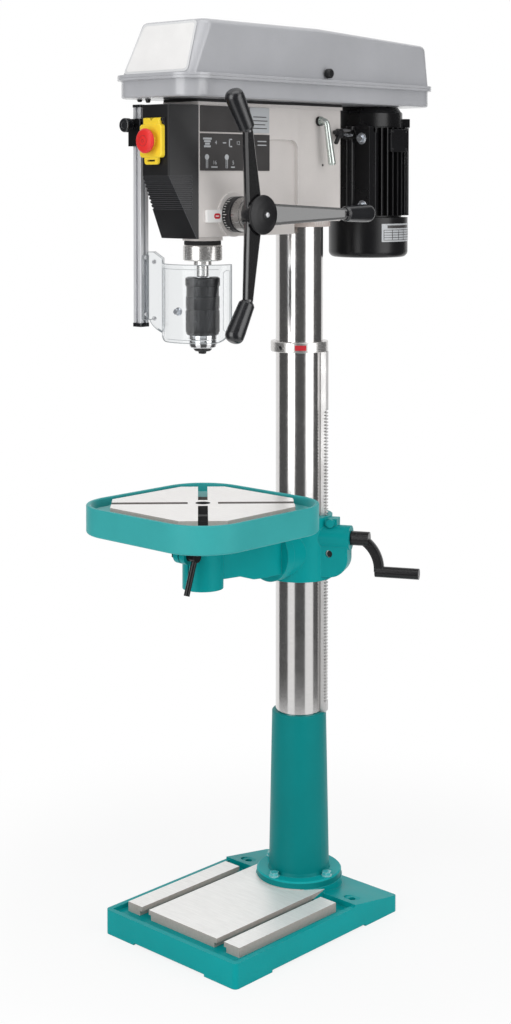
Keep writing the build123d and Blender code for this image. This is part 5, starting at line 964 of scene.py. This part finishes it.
def mushroom_rings():
    """Thin darker red rings on the face of the stop mushroom: moulded rings whose darker colour is painted
    shade.
    """
    button = nodes["stop_mushroom"]
    low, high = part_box("stop_mushroom")
    centre = (Vector(low) + Vector(high)) / 2
    ahead = 100 * MM
    view = bpy.context.evaluated_depsgraph_get()
    runs = []
    for radius in (2.6, 9.5):
        spots = [centre + Vector((point.x * MM, -ahead, point.y * MM)) for point in circle(radius, 0, 32)]
        run = [button.ray_cast(spot, (0, 1, 0), depsgraph=view)[1] for spot in spots]
        runs.append(run + run[:1])
    thin_lines("mushroom_rings", runs, "deep_red", "mushroom", radius=0.4)


def belt(name, corners, level, whole=False):
    """A whole V-belt, or one end of it, wrapped round its pulleys.

    Each corner is a place along the belt's run, a radius and a bearing.
    """
    section = ((-1, 2.2), (-1, -2.2), (-0.6, -2.7), (5.5, -4.4), (6, -4.1), (6, 4.1), (5.5, 4.4), (-0.6, 2.7))
    steps = 32
    stations = []
    for low, high in zip(corners, corners[1:]):
        stations += [[a + (b - a) * i / steps for a, b in zip(low, high)] for i in range(steps)]
    if not whole:
        stations.append(corners[-1])
    rings = []
    for y, radius, turn in stations:
        out = Vector((math.sin(turn), math.cos(turn), 0))
        centre = Vector((0, y, level))
        rings.append([centre + (radius + reach) * out + Vector((0, 0, rise)) for reach, rise in section])
    made = piece(name, skin(bmesh.new(), rings, closed=whole), AS_BUILT, "belt_rubber", None)
    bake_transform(made)
    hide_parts("drive_belts")


def drive_belts():
    """The front belt in one loop, and the rear belt in an idler end and a motor end that meet."""
    spindle, idler, motor = SPINDLE_AXIS[1], IDLER_AXIS[1], MOTOR_AXIS[1]
    front_level, spindle_r, idler_front_r = 1628.5, 42, 34
    rear_level, idler_rear_r, motor_r = 1611.5, 42, 24

    lean = math.acos((spindle_r - idler_front_r) / (idler - spindle))
    back = lean - 2 * math.pi
    loop = [(idler, idler_front_r, lean), (idler, idler_front_r, -lean), (spindle, spindle_r, -lean)]
    loop += [(spindle, spindle_r, back), (idler, idler_front_r, back)]
    belt("front_belt", loop, front_level, whole=True)

    lean = math.acos((idler_rear_r - motor_r) / (motor - idler))
    back = lean - 2 * math.pi
    meet = 140
    meet_r = idler_rear_r + (motor_r - idler_rear_r) * (meet - idler) / (motor - idler)
    idler_end = [(meet, meet_r, -lean), (idler, idler_rear_r, -lean)]
    idler_end += [(idler, idler_rear_r, back), (meet, meet_r, back)]
    belt("rear_belt_idler_end", idler_end, rear_level)
    motor_end = [(meet, meet_r, lean), (motor, motor_r, lean), (motor, motor_r, -lean), (meet, meet_r, -lean)]
    belt("rear_belt_motor_end", motor_end, rear_level)


lid_label()
side_panel()
depth_pointer()
feed_marks()
motor_fittings()
under_pan()
column_marks()
guard_fittings()
cover_lines()
spindle_fittings()
mushroom_rings()
drive_belts()


# Floor and backdrop, in metres

def seen_rays(tree):
    """1 for what the camera, a reflection or a clear sheet looks at, 0 for soft light."""
    rays = add(tree, "LightPath").outputs
    seen = worked_out(tree, "ADD", rays["Is Camera Ray"], rays["Is Glossy Ray"])
    return worked_out(tree, "ADD", seen, rays["Is Transmission Ray"], use_clamp=True)


def bare_material(name):
    """A material of the studio, with nothing in it yet but its output."""
    material = bpy.data.materials.new(name)
    material.use_nodes = True
    tree = material.node_tree
    tree.nodes.remove(tree.nodes["Principled BSDF"])
    return material, tree, tree.nodes["Material Output"].inputs["Surface"]


def studio_piece(name, shape, material):
    """A mesh that belongs to the studio."""
    mesh = bpy.data.meshes.new(name)
    shape.to_mesh(mesh)
    shape.free()
    mesh.materials.append(material)
    made = bpy.data.objects.new(name, mesh)
    bpy.context.scene.collection.objects.link(made)
    return made


def make_floor():
    """A pale floor that takes the object's shadow and runs out to white."""
    material, tree, surface = bare_material("floor")
    spot = add(tree, "TexCoord").outputs["Object"]
    far = add(tree, "VectorMath", {0: spot}, operation="LENGTH").outputs["Value"]
    reach = {"Value": far, "From Min": 0.4, "From Max": 1.0, "To Min": 0.84, "To Max": 1.0}
    fade = add(tree, "MapRange", reach, interpolation_type="SMOOTHSTEP").outputs["Result"]
    share = worked_out(tree, "MULTIPLY", fade, seen_rays(tree))
    near = add(tree, "BsdfDiffuse", {"Color": (0.93, 0.93, 0.93, 1.0)}).outputs["BSDF"]
    white = add(tree, "Emission", {"Color": WHITE, "Strength": 1.0}).outputs["Emission"]
    both = add(tree, "MixShader", {0: share, 1: near, 2: white}).outputs["Shader"]
    tree.links.new(both, surface)
    shape = bmesh.new()
    bmesh.ops.create_circle(shape, cap_ends=True, radius=30.0, segments=96)
    floor = studio_piece("floor", shape, material)
    floor.location.z = -0.5 * MM


def make_world():
    """White behind the object and in reflections, and an even soft light on everything else."""
    world = bpy.data.worlds.new("studio")
    world.use_nodes = True
    bpy.context.scene.world = world
    tree = world.node_tree
    soft = tree.nodes["Background"]
    soft.inputs["Color"].default_value = WHITE
    soft.inputs["Strength"].default_value = 0.4
    white = add(tree, "Background", {"Color": WHITE, "Strength": 1.0})
    both = add(tree, "MixShader", {0: seen_rays(tree), 1: soft.outputs[0], 2: white.outputs[0]})
    tree.links.new(both.outputs[0], tree.nodes["World Output"].inputs["Surface"])


# Lamps and cards

def softbox(name, bearing, distance, height, size, power, aim=0.9, mirrored=True):
    """A rectangular lamp at a bearing round the column, looking at it, which metal mirrors or not."""
    lamp = bpy.data.lights.new(name, "AREA")
    lamp.shape = "RECTANGLE"
    lamp.size, lamp.size_y = size
    lamp.energy = power
    box = bpy.data.objects.new(name, lamp)
    turn = math.radians(bearing)
    box.location = (distance * math.cos(turn), distance * math.sin(turn), height)
    box.rotation_mode = "QUATERNION"
    box.rotation_quaternion = (Vector((0, 0, aim)) - box.location).to_track_quat("-Z", "Y")
    box.visible_camera = False
    box.visible_glossy = mirrored
    box.visible_transmission = mirrored
    bpy.context.scene.collection.objects.link(box)


def dark_card(name, turns, radius, height, material):
    """A dark studio card, bent round the object, that only reflections see."""
    steps = 16
    shape = bmesh.new()
    rows = []
    for i in range(steps + 1):
        turn = math.radians(turns[0] + (turns[1] - turns[0]) * i / steps)
        spot = Vector((radius * math.cos(turn), radius * math.sin(turn), 0))
        rows.append((shape.verts.new(spot), shape.verts.new(spot + Vector((0, 0, height)))))
    for left, right in zip(rows, rows[1:]):
        shape.faces.new((left[0], right[0], right[1], left[1]))
    card = studio_piece(name, shape, material)
    card.visible_camera = False
    card.visible_diffuse = False
    card.visible_shadow = False
    card.visible_transmission = False


def make_lights():
    """Four soft lamps, and three cards that give round bright metal its dark bands."""
    softbox("left_box", bearing=-87, distance=2.6, height=1.5, size=(1.5, 2.4), power=27)
    softbox("right_box", bearing=4, distance=2.6, height=1.5, size=(1.8, 2.4), power=24)
    softbox("top_box", bearing=-45, distance=1.2, height=3.2, size=(2.2, 2.2), power=20, aim=0.6)
    softbox("back_box", bearing=142, distance=2.6, height=1.6, size=(1.8, 2.4), power=18, mirrored=False)
    cloth, tree, surface = bare_material("card_cloth")
    glow = add(tree, "Emission", {"Color": (0.1, 0.1, 0.1, 1.0), "Strength": 1.0})
    tree.links.new(glow.outputs[0], surface)
    for name, turns in (("left_card", (-162, -105)), ("front_card", (-70, -20)), ("right_card", (23, 86))):
        dark_card(name, turns, radius=1.3, height=2.6, material=cloth)


# Camera

def make_camera():
    """The photograph's viewpoint: three quarters from the front right, at the height of the head."""
    lens = bpy.data.cameras.new("camera")
    lens.lens = 60.544
    lens.shift_y = -0.27
    camera = bpy.data.objects.new("camera", lens)
    camera.location = (2.22744, -2.50296, 1.42236)
    heading, pitch = 0.75276, 0.0331
    level = math.cos(pitch)
    ahead = Vector((-math.sin(heading) * level, math.cos(heading) * level, -math.sin(pitch)))
    camera.rotation_mode = "QUATERNION"
    camera.rotation_quaternion = ahead.to_track_quat("-Z", "Y")
    bpy.context.scene.collection.objects.link(camera)
    bpy.context.scene.camera = camera


make_floor()
make_world()
make_lights()
make_camera()
bpy.context.scene.view_settings.view_transform = "Standard"
